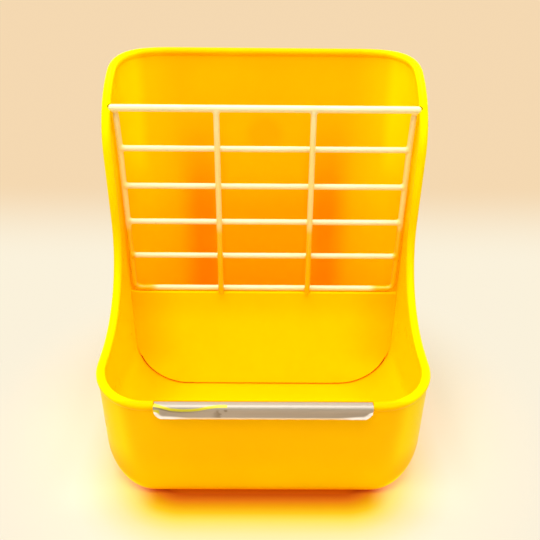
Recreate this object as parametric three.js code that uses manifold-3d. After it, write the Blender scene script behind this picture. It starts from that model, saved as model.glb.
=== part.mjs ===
// Hay feeder box: a one piece moulded body with a food bowl in front of a hay pocket, a hinged
// wire grille over the pocket, a steel chew guard on the bowl's lip and a clamp behind the back wall.
// Millimetres. +X is the feeder's right as seen from the front, -Y is the front and +Z is up.
import * as THREE from 'three';
import { mergeVertices } from 'three/addons/utils/BufferGeometryUtils.js';
import Module from 'manifold-3d';

const wasm = await Module();
wasm.setup();

// Body shell
const bodyHeight = 201;
const bodyDepth = 138.6;
const frontHalfWidth = 83.6;
const backHalfWidth = 78.5;
const wallThickness = 2.8;
const floorThickness = 3;
const rimBeadDiameter = 4.6;
const frontCornerRadius = 26.8;
const backCornerRadiusLow = 38.5;
const backCornerRadiusHigh = 29.5;
const sideBottomRadius = 22.5;
const sideFloorRadius = 30;
const endBottomRadius = 5.7;
const endFloorRadius = 4;
const sideDraft = THREE.MathUtils.degToRad(0.83);
const frontDraft = THREE.MathUtils.degToRad(2);

// Rim line, seen from the side
const bowlLipHeight = 59.7;
const bowlLipSlope = THREE.MathUtils.degToRad(10);
const throatRadius = 56;
const cheekDepth = 55;
const shoulderDepth = 51.2;
const shoulderHeight = 42.7;

// Panel between the bowl and the hay pocket
const panelThickness = 2.6;
const panelTopClearance = 0.3;

// Wire grille
const wireDiameter = 3.2;
const axleDiameter = 3.8;
const axleDrop = 23.1;
const axleSeat = 1.4;
const axleClearance = 0.3;
const socketHeadroom = 2.0;
const firstRowDrop = 22.3;
const rowPitch = 21.0;
const crossbarCount = 4;
const columnPitch = 50.3;
const uprightCount = 2;
const frameSideClearance = 0.9;
const frameTopClearance = 0.2;
const frameCornerRadius = 4.5;
const frameTopLean = THREE.MathUtils.degToRad(38);
const uprightOverrun = 2.7;
const wireClearance = 0.3;

// Steel chew guard
const guardEndInset = 4.4;
const guardHeight = 6.8;
const guardFlange = 4.4;
const guardTopDrop = 0.5;
const guardSheet = 0.8;
const guardBend = 1.6;
const guardCornerRadius = 4.5;
const guardLipHeight = 1.2;
const guardLipTurn = 0.7;
const guardClearance = 0.3;

// Clamp behind the back wall
const clampDrop = 48.9;
const bossDiameter = 28;
const bossThickness = 2.4;
const studDiameter = 6;
const studEmbed = 3.4;
const studClearance = 0.3;
const studTipChamfer = 0.8;
const clampDiscDiameter = 27;
const clampDiscThickness = 3.2;
const clampDiscRim = 1.2;
const clampDiscRimWidth = 2.4;
const washerDiameter = 14;
const washerThickness = 1.2;
const clampTravel = 6;
const nutHubDiameter = 11;
const nutHubLength = 6.5;
const wingSpan = 27;
const wingHeight = 9;
const wingThickness = 2.2;
const wingRootHeight = 4.5;
const faceClearance = 0.3;

// Overrun of cutting tools past the faces they cut
const cutOverrun = 4;

// Steps of the round stretches
const cornerSteps = 8;
const straightSteps = 3;
const sideSteps = 26;
const filletSteps = 5;
const wallRows = 4;
const beadSteps = 8;
const wireSides = 12;
const discSides = 40;

const yellowPlastic = new THREE.MeshStandardMaterial({ color: 0xffb700, roughness: 0.3 });
const whiteWire = new THREE.MeshStandardMaterial({ color: 0xf6efe2, roughness: 0.35 });
const brightSteel = new THREE.MeshStandardMaterial({ color: 0xb9b3ad, roughness: 0.25, metalness: 1 });
const zincSteel = new THREE.MeshStandardMaterial({ color: 0xc4c7c9, roughness: 0.35, metalness: 1 });

const feeder = new THREE.Group();

function addPiece(name, geometry, material) {
  const mesh = new THREE.Mesh(geometry, material);
  mesh.name = name;
  feeder.add(mesh);
  return mesh;
}

function toSolid(geometry) {
  const plain = geometry.clone();
  plain.deleteAttribute('normal');
  plain.deleteAttribute('uv');
  const merged = mergeVertices(plain);
  const vertProperties = new Float32Array(merged.attributes.position.array);
  const triVerts = new Uint32Array(merged.index.array);
  return new wasm.Manifold(new wasm.Mesh({ numProp: 3, vertProperties, triVerts }));
}

function toGeometry(solid) {
  const mesh = solid.getMesh();
  const geometry = new THREE.BufferGeometry();
  geometry.setAttribute('position', new THREE.BufferAttribute(new Float32Array(mesh.vertProperties), 3));
  geometry.setIndex(new THREE.BufferAttribute(new Uint32Array(mesh.triVerts), 1));
  geometry.computeVertexNormals();
  return geometry;
}

// Places worked out from the sizes
const beadRadius = rimBeadDiameter / 2;
const backFace = bodyDepth / 2 - beadRadius + wallThickness / 2;
const lipFrontFace = -backFace;
const lipCentreHeight = bowlLipHeight - beadRadius;
const baseFrontFace = lipFrontFace + lipCentreHeight * Math.tan(frontDraft);
const rimTop = bodyHeight - beadRadius;
const rimBack = backFace - wallThickness / 2;
const cheekFront = bodyDepth / 2 - cheekDepth;
const throatTop = rimTop - shoulderHeight;
const clampHeight = bodyHeight - clampDrop;
const bossFace = backFace + bossThickness;
const shoulderCentre = cheekFront + shoulderDepth;

// Direction that the side walls face: they close in towards the back
const sideRun = backFace - baseFrontFace;
const sideInset = frontHalfWidth - backHalfWidth;
const sideLength = Math.hypot(sideRun, sideInset);
const sideFacing = { x: sideRun / sideLength, y: sideInset / sideLength };
const sideAngle = Math.atan2(sideFacing.y, sideFacing.x);

// How far the side walls stand from the middle at one height, square to their faces
function sideReachAt(height) {
  return frontHalfWidth * sideFacing.x + baseFrontFace * sideFacing.y + height * Math.tan(sideDraft);
}

// Plan section of the outer surface at one height
function sectionAt(height) {
  const reach = sideReachAt(height);
  const front = baseFrontFace - height * Math.tan(frontDraft);
  const frontRadius = frontCornerRadius;
  const backRadius = THREE.MathUtils.lerp(backCornerRadiusLow, backCornerRadiusHigh, height / bodyHeight);
  const frontCentre = { y: front + frontRadius };
  frontCentre.x = (reach - frontRadius - frontCentre.y * sideFacing.y) / sideFacing.x;
  const backCentre = { y: backFace - backRadius };
  backCentre.x = (reach - backRadius - backCentre.y * sideFacing.y) / sideFacing.x;
  return { front, frontRadius, backRadius, frontCentre, backCentre };
}

// A point of the wall: stretch of the outline, share along it, height and depth below the outer face
function wallPoint(stretch, share, height, inset) {
  const s = sectionAt(height);
  if (stretch === 'front') {
    return { x: s.frontCentre.x * share, y: s.front + inset, facing: -Math.PI / 2 };
  }
  if (stretch === 'frontCorner') {
    const facing = THREE.MathUtils.lerp(-Math.PI / 2, sideAngle, share);
    const r = s.frontRadius - inset;
    return { x: s.frontCentre.x + r * Math.cos(facing), y: s.frontCentre.y + r * Math.sin(facing), facing };
  }
  if (stretch === 'backCorner') {
    const facing = THREE.MathUtils.lerp(sideAngle, Math.PI / 2, share);
    const r = s.backRadius - inset;
    return { x: s.backCentre.x + r * Math.cos(facing), y: s.backCentre.y + r * Math.sin(facing), facing };
  }
  if (stretch === 'back') {
    return { x: s.backCentre.x * (1 - share), y: backFace - inset, facing: Math.PI / 2 };
  }
  const a = wallPoint('frontCorner', 1, height, inset);
  const b = wallPoint('backCorner', 0, height, inset);
  return {
    x: THREE.MathUtils.lerp(a.x, b.x, share),
    y: THREE.MathUtils.lerp(a.y, b.y, share),
    facing: sideAngle,
  };
}

// Radius of the edge round the underside or the floor: small along the ends, large along the sides
function edgeRadius(column, endRadius, sideRadius) {
  const ease = THREE.MathUtils.smoothstep(column.baseShare, 0, 1);
  if (column.stretch === 'side') {
    return sideRadius;
  }
  if (column.stretch === 'frontCorner') {
    return THREE.MathUtils.lerp(endRadius, sideRadius, ease);
  }
  if (column.stretch === 'backCorner') {
    return THREE.MathUtils.lerp(sideRadius, endRadius, ease);
  }
  return endRadius;
}

// Rim height over a place on the bowl's lip or on the shoulder of the pocket
function lipHeightAt(y) {
  return lipCentreHeight + (y + backFace - wallThickness / 2) * Math.tan(bowlLipSlope);
}

function shoulderHeightAt(y) {
  const share = Math.min(1, (y - shoulderCentre) / -shoulderDepth);
  if (share <= 0) {
    return rimTop;
  }
  return throatTop + shoulderHeight * Math.sqrt(1 - share * share);
}

// The rim's stretch along each side, front to back: lip, throat, cheek and shoulder
function sideRimLine() {
  const throatCentre = { y: cheekFront - throatRadius };
  const tangent = throatCentre.y + throatRadius * Math.sin(bowlLipSlope);
  throatCentre.z = lipHeightAt(tangent) + throatRadius * Math.cos(bowlLipSlope);
  const start = wallPoint('side', 0, lipCentreHeight, wallThickness / 2).y;
  const end = wallPoint('side', 1, rimTop, wallThickness / 2).y;
  const endAngle = Math.acos(Math.max(0, (shoulderCentre - end) / shoulderDepth));
  const line = new THREE.Path();
  line.moveTo(start, lipHeightAt(start));
  line.lineTo(tangent, lipHeightAt(tangent));
  line.absarc(throatCentre.y, throatCentre.z, throatRadius, bowlLipSlope - Math.PI / 2, 0, false);
  line.lineTo(cheekFront, throatTop);
  line.absellipse(shoulderCentre, throatTop, shoulderDepth, shoulderHeight, Math.PI, Math.PI - endAngle, true);
  return line.getSpacedPoints(sideSteps);
}

// Columns of the half shell from the front centre to the back centre, each with its rim height
function halfColumns() {
  const columns = [];
  for (let i = 0; i < straightSteps; i += 1) {
    const share = i / straightSteps;
    columns.push({ stretch: 'front', rimShare: share, baseShare: share, height: lipCentreHeight });
  }
  for (let i = 0; i < cornerSteps; i += 1) {
    const share = i / cornerSteps;
    const y = wallPoint('frontCorner', share, lipCentreHeight, wallThickness / 2).y;
    columns.push({ stretch: 'frontCorner', rimShare: share, baseShare: share, height: lipHeightAt(y) });
  }
  const sidePoints = sideRimLine();
  sidePoints.forEach((point, i) => {
    const a = wallPoint('side', 0, point.y, wallThickness / 2).y;
    const b = wallPoint('side', 1, point.y, wallThickness / 2).y;
    const rimShare = THREE.MathUtils.clamp((point.x - a) / (b - a), 0, 1);
    columns.push({ stretch: 'side', rimShare, baseShare: i / sideSteps, height: point.y });
  });
  for (let i = 1; i <= cornerSteps; i += 1) {
    const share = i / cornerSteps;
    const y = wallPoint('backCorner', share, rimTop, wallThickness / 2).y;
    columns.push({ stretch: 'backCorner', rimShare: share, baseShare: share, height: shoulderHeightAt(y) });
  }
  for (let i = 1; i <= straightSteps; i += 1) {
    const share = i / straightSteps;
    columns.push({ stretch: 'back', rimShare: share, baseShare: share, height: rimTop });
  }
  return columns;
}

// The same columns all the way round, the left half mirrored
function allColumns() {
  const half = halfColumns();
  const right = half.map((column) => ({ ...column, side: 1 }));
  const left = half.slice(1, -1).reverse().map((column) => ({ ...column, side: -1 }));
  return [...right, ...left];
}

function columnPoint(column, share, height, inset) {
  const p = wallPoint(column.stretch, share, height, inset);
  return new THREE.Vector3(column.side * p.x, p.y, height);
}

function columnFacing(column, share, height) {
  const { facing } = wallPoint(column.stretch, share, height, 0);
  return new THREE.Vector3(column.side * Math.cos(facing), Math.sin(facing), 0);
}

// Rows of one column from the underside, over the rim bead, to the inner floor
function shellRows(column, centre, along) {
  const rows = [];
  const outerRadius = edgeRadius(column, endBottomRadius, sideBottomRadius);
  const innerRadius = edgeRadius(column, endFloorRadius, sideFloorRadius);
  const facing = columnFacing(column, column.rimShare, column.height);
  const upwards = new THREE.Vector3().crossVectors(facing, along).normalize();
  const beadDrop = Math.sqrt(beadRadius ** 2 - (wallThickness / 2) ** 2);
  const joint = centre.clone().addScaledVector(upwards, -beadDrop);
  const low = wallPoint(column.stretch, 0, joint.z, wallThickness / 2).y;
  const high = wallPoint(column.stretch, 1, joint.z, wallThickness / 2).y;
  const jointShare = column.stretch === 'side' ? (joint.y - low) / (high - low) : column.rimShare;
  const wallRow = (rowShare, base, inset) => {
    const share = THREE.MathUtils.lerp(column.baseShare, jointShare, rowShare);
    return columnPoint(column, share, THREE.MathUtils.lerp(base, joint.z, rowShare), inset);
  };
  for (let i = 0; i <= filletSteps; i += 1) {
    const angle = (i / filletSteps) * (Math.PI / 2);
    const height = outerRadius * (1 - Math.cos(angle));
    rows.push(columnPoint(column, column.baseShare, height, outerRadius * (1 - Math.sin(angle))));
  }
  for (let i = 1; i < wallRows; i += 1) {
    rows.push(wallRow(i / wallRows, outerRadius, 0));
  }
  const neck = Math.asin(beadDrop / beadRadius);
  for (let i = 0; i <= beadSteps; i += 1) {
    const angle = THREE.MathUtils.lerp(-neck, Math.PI + neck, i / beadSteps);
    const point = centre.clone().addScaledVector(facing, beadRadius * Math.cos(angle));
    rows.push(point.addScaledVector(upwards, beadRadius * Math.sin(angle)));
  }
  const innerBase = floorThickness + innerRadius;
  for (let i = wallRows - 1; i >= 1; i -= 1) {
    rows.push(wallRow(i / wallRows, innerBase, wallThickness));
  }
  for (let i = filletSteps; i >= 0; i -= 1) {
    const angle = (i / filletSteps) * (Math.PI / 2);
    const height = floorThickness + innerRadius * (1 - Math.cos(angle));
    const inset = wallThickness + innerRadius * (1 - Math.sin(angle));
    rows.push(columnPoint(column, column.baseShare, height, inset));
  }
  return rows;
}

// A closed surface from columns of points that all start and end at one shared point each
function closedSurface(columns, firstPoint, lastPoint) {
  const count = columns.length;
  const rowCount = columns[0].length;
  const positions = [firstPoint, ...columns.flat(), lastPoint].flatMap((p) => [p.x, p.y, p.z]);
  const last = 1 + count * rowCount;
  const at = (column, row) => 1 + (column % count) * rowCount + row;
  const index = [];
  for (let c = 0; c < count; c += 1) {
    index.push(0, at(c + 1, 0), at(c, 0));
    for (let r = 0; r + 1 < rowCount; r += 1) {
      index.push(at(c, r), at(c + 1, r), at(c + 1, r + 1));
      index.push(at(c, r), at(c + 1, r + 1), at(c, r + 1));
    }
    index.push(at(c, rowCount - 1), at(c + 1, rowCount - 1), last);
  }
  const geometry = new THREE.BufferGeometry();
  geometry.setAttribute('position', new THREE.Float32BufferAttribute(positions, 3));
  geometry.setIndex(index);
  return geometry;
}

function shellSolid() {
  const columns = allColumns();
  const centres = columns.map((c) => columnPoint(c, c.rimShare, c.height, wallThickness / 2));
  const rows = columns.map((column, i) => {
    const before = centres[(i + centres.length - 1) % centres.length];
    const after = centres[(i + 1) % centres.length];
    const along = new THREE.Vector3().subVectors(after, before).normalize();
    return shellRows(column, centres[i], along);
  });
  const under = new THREE.Vector3(0, 0, 0);
  const floor = new THREE.Vector3(0, 0, floorThickness);
  return toSolid(closedSurface(rows, under, floor));
}

// The space inside the middle of the walls up to one height
function plugSolid(top) {
  const inset = wallThickness / 2;
  const bottom = floorThickness / 2;
  const rows = allColumns().map((column) => {
    const outerRadius = edgeRadius(column, endBottomRadius, sideBottomRadius);
    const innerRadius = edgeRadius(column, endFloorRadius, sideFloorRadius);
    const radius = (outerRadius + innerRadius) / 2;
    const points = [];
    for (let i = 0; i <= filletSteps; i += 1) {
      const angle = (i / filletSteps) * (Math.PI / 2);
      const height = bottom + radius * (1 - Math.cos(angle));
      points.push(columnPoint(column, column.baseShare, height, inset + radius * (1 - Math.sin(angle))));
    }
    points.push(columnPoint(column, column.baseShare, top, inset));
    return points;
  });
  return toSolid(closedSurface(rows, new THREE.Vector3(0, 0, bottom), new THREE.Vector3(0, 0, top)));
}

// Grille places: the axle lies across the rim's shoulder
const axleHeight = bodyHeight - axleDrop;
const axleRise = (axleHeight - throatTop) / shoulderHeight;
const axleY = shoulderCentre - shoulderDepth * Math.sqrt(1 - axleRise ** 2);
const uprightY = axleY;
const crossbarY = uprightY + wireDiameter + wireClearance;
const rowHeights = Array.from({ length: crossbarCount + 1 }, (_, i) => axleHeight - firstRowDrop - i * rowPitch);
const bottomBarHeight = rowHeights[crossbarCount];
const panelTop = bottomBarHeight - wireDiameter / 2 - panelTopClearance;
const panelFront = uprightY + wireDiameter / 2 + wireClearance;

// Half the width of the outer wall over one place of the side
function sideHalfWidth(y, height) {
  return (sideReachAt(height) - y * sideFacing.y) / sideFacing.x;
}
const rimInnerHalfWidth = sideHalfWidth(axleY, axleHeight) - wallThickness / 2 - beadRadius;
const axleLength = 2 * (rimInnerHalfWidth + axleSeat);

// Chew guard places, level with the middle of the lip's bead and let into the top of it
const guardHalfLength = sectionAt(lipCentreHeight).frontCentre.x - guardEndInset;
const guardInner = beadRadius + guardClearance;
const guardOuter = guardInner + guardSheet;
const guardTop = beadRadius - guardTopDrop;
const guardLow = guardTop - guardHeight;
const guardRear = guardFlange - guardOuter;

function boxGeometry(low, high) {
  const size = new THREE.Vector3().subVectors(high, low);
  const box = new THREE.BoxGeometry(size.x, size.y, size.z);
  return box.translate((low.x + high.x) / 2, (low.y + high.y) / 2, (low.z + high.z) / 2);
}

function rodAlongX(diameter, from, to, y, z, sides) {
  const rod = new THREE.CylinderGeometry(diameter / 2, diameter / 2, to - from, sides);
  return rod.rotateZ(Math.PI / 2).translate((from + to) / 2, y, z);
}

function rodAlongY(diameter, from, to, z, sides) {
  const rod = new THREE.CylinderGeometry(diameter / 2, diameter / 2, to - from, sides);
  return rod.translate(0, (from + to) / 2, z);
}

function feederBody() {
  const slab = boxGeometry(
    new THREE.Vector3(-frontHalfWidth - cutOverrun, panelFront, -cutOverrun),
    new THREE.Vector3(frontHalfWidth + cutOverrun, panelFront + panelThickness, panelTop),
  );
  const panel = plugSolid(panelTop).intersect(toSolid(slab));
  const boss = toSolid(rodAlongY(bossDiameter, rimBack, backFace + bossThickness, clampHeight, discSides));
  const hole = rodAlongY(
    studDiameter + 2 * studClearance,
    bossFace - studEmbed - studClearance,
    bossFace + cutOverrun,
    clampHeight,
    wireSides * 2,
  );
  const socketEnd = axleLength / 2 + axleClearance;
  const socketDiameter = axleDiameter + 2 * axleClearance + socketHeadroom;
  const socketHeight = axleHeight + socketHeadroom / 2;
  const socket = (from, to) => toSolid(
    rodAlongX(socketDiameter, from, to, axleY, socketHeight, wireSides * 2),
  );
  const seatHalf = guardHalfLength + guardClearance;
  const seatFloor = lipCentreHeight + guardTop - guardSheet - guardClearance;
  const seat = boxGeometry(
    new THREE.Vector3(-seatHalf, lipFrontFace - cutOverrun, seatFloor),
    new THREE.Vector3(seatHalf, guardRear + guardClearance - rimBack, bowlLipHeight + cutOverrun),
  );
  return shellSolid()
    .add(panel)
    .add(boss)
    .subtract(toSolid(hole))
    .subtract(toSolid(seat))
    .subtract(socket(axleLength / 2 - cutOverrun * 2, socketEnd))
    .subtract(socket(-socketEnd, cutOverrun * 2 - axleLength / 2));
}
addPiece('feeder_body', toGeometry(feederBody()), yellowPlastic);

// Grille
addPiece(
  'grille_axle_bar',
  rodAlongX(axleDiameter, -axleLength / 2, axleLength / 2, axleY, axleHeight, wireSides),
  whiteWire,
);

function frameHalfWidthAt(height) {
  return sideHalfWidth(crossbarY, height) - wallThickness - frameSideClearance - wireDiameter / 2;
}

// Side wires and bottom bar are one bent wire whose tops flare out to the axle's ends
function frameWire() {
  const reach = axleDiameter / 2 + wireDiameter / 2 + wireClearance;
  const topY = axleY + reach * Math.sin(frameTopLean);
  const topZ = axleHeight - reach * Math.cos(frameTopLean);
  const topX = rimInnerHalfWidth - frameTopClearance - wireDiameter / 2;
  const lowX = frameHalfWidthAt(bottomBarHeight);
  const route = new THREE.CurvePath();
  const top = (side) => new THREE.Vector3(side * topX, topY, topZ);
  const elbow = (side) => new THREE.Vector3(side * frameHalfWidthAt(rowHeights[0]), crossbarY, rowHeights[0]);
  const corner = (side) => new THREE.Vector3(side * lowX, crossbarY, bottomBarHeight);
  const cornerStart = (side) => {
    const height = bottomBarHeight + frameCornerRadius;
    return new THREE.Vector3(side * frameHalfWidthAt(height), crossbarY, height);
  };
  const cornerEnd = (side) => {
    return new THREE.Vector3(side * (lowX - frameCornerRadius), crossbarY, bottomBarHeight);
  };
  route.add(new THREE.LineCurve3(top(-1), elbow(-1)));
  route.add(new THREE.LineCurve3(elbow(-1), cornerStart(-1)));
  route.add(new THREE.QuadraticBezierCurve3(cornerStart(-1), corner(-1), cornerEnd(-1)));
  route.add(new THREE.LineCurve3(cornerEnd(-1), cornerEnd(1)));
  route.add(new THREE.QuadraticBezierCurve3(cornerEnd(1), corner(1), cornerStart(1)));
  route.add(new THREE.LineCurve3(cornerStart(1), elbow(1)));
  route.add(new THREE.LineCurve3(elbow(1), top(1)));
  return route;
}

// A round wire swept through the points of a route, its rings turned along the route
function sweptWire(points, diameter, sides) {
  const rings = points.map((point, i) => {
    const before = points[Math.max(0, i - 1)];
    const after = points[Math.min(points.length - 1, i + 1)];
    const along = new THREE.Vector3().subVectors(after, before).normalize();
    const across = new THREE.Vector3(0, 1, 0).addScaledVector(along, -along.y).normalize();
    const third = new THREE.Vector3().crossVectors(along, across);
    return Array.from({ length: sides }, (_, k) => {
      const angle = (k / sides) * 2 * Math.PI;
      const offset = across.clone().multiplyScalar(Math.cos(angle)).addScaledVector(third, Math.sin(angle));
      return point.clone().addScaledVector(offset, diameter / 2);
    });
  });
  const columns = Array.from({ length: sides }, (_, k) => rings.map((ring) => ring[k]));
  return closedSurface(columns, points[0], points[points.length - 1]);
}

function frameWirePoints() {
  const points = [];
  frameWire().curves.forEach((curve) => {
    const steps = curve.isLineCurve3 ? 1 : cornerSteps;
    const stretch = curve.getPoints(steps);
    points.push(...(points.length ? stretch.slice(1) : stretch));
  });
  return points;
}
addPiece('grille_frame_wire', sweptWire(frameWirePoints(), wireDiameter, wireSides), whiteWire);

for (let i = 0; i < crossbarCount; i += 1) {
  const half = frameHalfWidthAt(rowHeights[i]) - wireDiameter / 2 - wireClearance;
  addPiece(
    `grille_crossbar_${i + 1}`,
    rodAlongX(wireDiameter, -half, half, crossbarY, rowHeights[i], wireSides),
    whiteWire,
  );
}

function uprightWire(x) {
  const top = axleHeight - axleDiameter / 2 - wireClearance;
  const bottom = bottomBarHeight - uprightOverrun;
  const rod = new THREE.CylinderGeometry(wireDiameter / 2, wireDiameter / 2, top - bottom, wireSides);
  return rod.rotateX(Math.PI / 2).translate(x, uprightY, (top + bottom) / 2);
}
for (let i = 0; i < uprightCount; i += 1) {
  const x = (i - (uprightCount - 1) / 2) * columnPitch;
  addPiece(`grille_upright_${i + 1}`, uprightWire(x), whiteWire);
}

// Chew guard: a bent steel strip, its lower front edge turned out
function guardProfile() {
  const under = guardTop - guardSheet;
  const insideBend = guardBend - guardSheet;
  const profile = new THREE.Shape();
  profile.moveTo(guardRear, under);
  profile.lineTo(guardRear, guardTop);
  profile.lineTo(guardBend - guardOuter, guardTop);
  profile.quadraticCurveTo(-guardOuter, guardTop, -guardOuter, guardTop - guardBend);
  profile.lineTo(-guardOuter, guardLow + guardLipHeight);
  profile.lineTo(-guardOuter - guardLipTurn, guardLow);
  profile.lineTo(-guardInner - guardLipTurn, guardLow);
  profile.lineTo(-guardInner, guardLow + guardLipHeight);
  profile.lineTo(-guardInner, under - insideBend);
  profile.quadraticCurveTo(-guardInner, under, insideBend - guardInner, under);
  profile.closePath();
  return profile;
}

function chewGuard() {
  const depth = 2 * guardHalfLength;
  const bar = new THREE.ExtrudeGeometry(guardProfile(), { depth, bevelEnabled: false, curveSegments: 3 });
  bar.translate(0, 0, -guardHalfLength);
  bar.applyMatrix4(new THREE.Matrix4().makeBasis(
    new THREE.Vector3(0, 1, 0),
    new THREE.Vector3(0, 0, 1),
    new THREE.Vector3(1, 0, 0),
  ));
  bar.translate(0, -rimBack, lipCentreHeight);
  return toSolid(bar).intersect(toSolid(guardOutline()));
}

// Front view of the guard with its lower corners rounded
function guardOutline() {
  const half = guardHalfLength;
  const low = guardLow;
  const high = guardTop + cutOverrun;
  const outline = new THREE.Shape();
  outline.moveTo(-half, high);
  outline.lineTo(-half, low + guardCornerRadius);
  outline.quadraticCurveTo(-half, low, guardCornerRadius - half, low);
  outline.lineTo(half - guardCornerRadius, low);
  outline.quadraticCurveTo(half, low, half, low + guardCornerRadius);
  outline.lineTo(half, high);
  outline.closePath();
  const depth = 2 * (guardOuter + cutOverrun);
  const block = new THREE.ExtrudeGeometry(outline, { depth, bevelEnabled: false, curveSegments: 6 });
  return block.rotateX(Math.PI / 2).translate(0, depth / 2 - rimBack, lipCentreHeight);
}
addPiece('chew_guard', toGeometry(chewGuard()), brightSteel);

// Clamp: stud in the rear boss, clamp disc, washer and wing nut
const discFace = bossFace + faceClearance;
const discBack = discFace + clampDiscThickness;
const washerFace = discBack + faceClearance;
const washerBack = washerFace + washerThickness;
const nutFace = washerBack + faceClearance;
const studEnd = nutFace + nutHubLength + clampTravel;
const boreDiameter = studDiameter + 2 * studClearance;

// A turned piece whose profile runs as radius and place along the stud
function turnedAlongY(profile, sides) {
  const points = profile.map(([radius, y]) => new THREE.Vector2(radius, y));
  return new THREE.LatheGeometry(points, sides).translate(0, 0, clampHeight);
}

function studPiece() {
  const r = studDiameter / 2;
  return turnedAlongY([
    [0, bossFace - studEmbed],
    [r, bossFace - studEmbed],
    [r, studEnd - studTipChamfer],
    [r - studTipChamfer, studEnd],
    [0, studEnd],
  ], wireSides * 2);
}
addPiece('clamp_stud', studPiece(), zincSteel);

function discPiece() {
  const bore = boreDiameter / 2;
  const r = clampDiscDiameter / 2;
  return turnedAlongY([
    [bore, discFace + clampDiscRim],
    [r - clampDiscRimWidth, discFace + clampDiscRim],
    [r - clampDiscRimWidth, discFace],
    [r, discFace],
    [r, discBack - clampDiscRim],
    [r - clampDiscRim, discBack],
    [bore, discBack],
    [bore, discFace + clampDiscRim],
  ], discSides);
}
addPiece('clamp_disc', discPiece(), yellowPlastic);

function washerPiece() {
  const bore = boreDiameter / 2;
  const r = washerDiameter / 2;
  return turnedAlongY([
    [bore, washerFace],
    [r, washerFace],
    [r, washerBack],
    [bore, washerBack],
    [bore, washerFace],
  ], wireSides * 2);
}
addPiece('clamp_washer', washerPiece(), zincSteel);

function wingNut() {
  const hub = turnedAlongY([
    [0, nutFace],
    [nutHubDiameter / 2, nutFace],
    [nutHubDiameter / 2 - studTipChamfer, nutFace + nutHubLength],
    [0, nutFace + nutHubLength],
  ], wireSides * 2);
  const wing = new THREE.Shape();
  wing.moveTo(0, 0);
  wing.lineTo(nutHubDiameter / 2, 0);
  wing.quadraticCurveTo(wingSpan / 2, 0, wingSpan / 2, wingHeight - wingRootHeight);
  wing.quadraticCurveTo(wingSpan / 2, wingHeight, wingSpan / 2 - wingRootHeight, wingHeight);
  wing.quadraticCurveTo(nutHubDiameter / 2, wingHeight, 0, wingRootHeight);
  wing.closePath();
  const plate = new THREE.ExtrudeGeometry(wing, { depth: wingThickness, bevelEnabled: false, curveSegments: 6 });
  plate.translate(0, nutFace, clampHeight - wingThickness / 2);
  const other = plate.clone().rotateY(Math.PI).translate(0, 0, 2 * clampHeight);
  const bore = rodAlongY(boreDiameter, nutFace - cutOverrun, studEnd, clampHeight, wireSides * 2);
  return toSolid(hub).add(toSolid(plate)).add(toSolid(other)).subtract(toSolid(bore));
}
addPiece('clamp_wing_nut', toGeometry(wingNut()), zincSteel);

// The origin sits under the middle of the whole feeder, clamp and guard counted
const frontReach = rimBack + guardOuter + guardLipTurn;
feeder.position.y = (frontReach - studEnd) / 2;
feeder.updateMatrixWorld(true);

export default feeder;
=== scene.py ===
"""Hay feeder box: a moulded yellow body, a white coated wire grille, a bright steel chew guard
and a zinc plated clamp behind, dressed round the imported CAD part."""

from functools import partialmethod
from math import acos, atan, atan2, cos, pi, radians, sin, sqrt, tan

import bmesh
import bpy
import numpy as np
from mathutils import Matrix, Vector
from numpy.linalg import norm


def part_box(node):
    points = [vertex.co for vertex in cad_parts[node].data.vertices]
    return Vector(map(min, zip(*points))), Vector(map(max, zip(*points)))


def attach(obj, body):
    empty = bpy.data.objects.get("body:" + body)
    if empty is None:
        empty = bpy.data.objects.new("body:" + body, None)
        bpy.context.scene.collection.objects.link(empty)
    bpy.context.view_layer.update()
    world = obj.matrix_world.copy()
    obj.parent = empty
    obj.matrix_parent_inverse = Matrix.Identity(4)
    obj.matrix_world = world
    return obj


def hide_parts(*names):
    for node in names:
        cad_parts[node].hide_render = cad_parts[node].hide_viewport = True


MM = 0.001
CLEARANCE = 0.3  # in millimetres, round every piece that lies in or against another

# Body shell, in millimetres
BODY_HEIGHT = 201.0
BODY_DEPTH = 138.6
FRONT_HALF_WIDTH = 83.6
BACK_HALF_WIDTH = 78.5
WALL = 2.8
FLOOR = 3.0
BEAD_RADIUS = 2.3
BEAD_FILLET = 1.2
FRONT_CORNER_RADIUS = 26.8
BACK_CORNER_RADIUS_LOW = 38.5
BACK_CORNER_RADIUS_HIGH = 29.5
SIDE_BOTTOM_RADIUS = 22.5
SIDE_FLOOR_RADIUS = 30.0
END_BOTTOM_RADIUS = 5.7
END_FLOOR_RADIUS = 4.0
SIDE_DRAFT = radians(0.83)
FRONT_DRAFT = radians(2)
LIP_HEIGHT = 59.7
LIP_SLOPE = radians(10)
THROAT_RADIUS = 56.0
CHEEK_DEPTH = 55.0
SHOULDER_DEPTH = 51.2
SHOULDER_HEIGHT = 42.7

# Panel, in millimetres; its groove is deepest along the floor and fades out up the walls
PANEL_THICKNESS = 2.6
PANEL_HIDDEN = WALL * 0.45
PANEL_GROOVE_WIDTH = 1.0
PANEL_GROOVE_DEPTH = 1.1
PANEL_GROOVE_FADE = 14.0
PANEL_SPINE_INSET = 20.0
PANEL_SPINE_DROP = 15.0
PANEL_SPINE_SHARE = 0.6
PANEL_OUTER_DEPTHS = [0.0, 0.45, 0.9]
PANEL_INNER_DEPTHS = [2.5, 2.9, 3.4, 4.0, 4.8, 5.8, 7.0]
PANEL_STEP = 0.02

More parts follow.
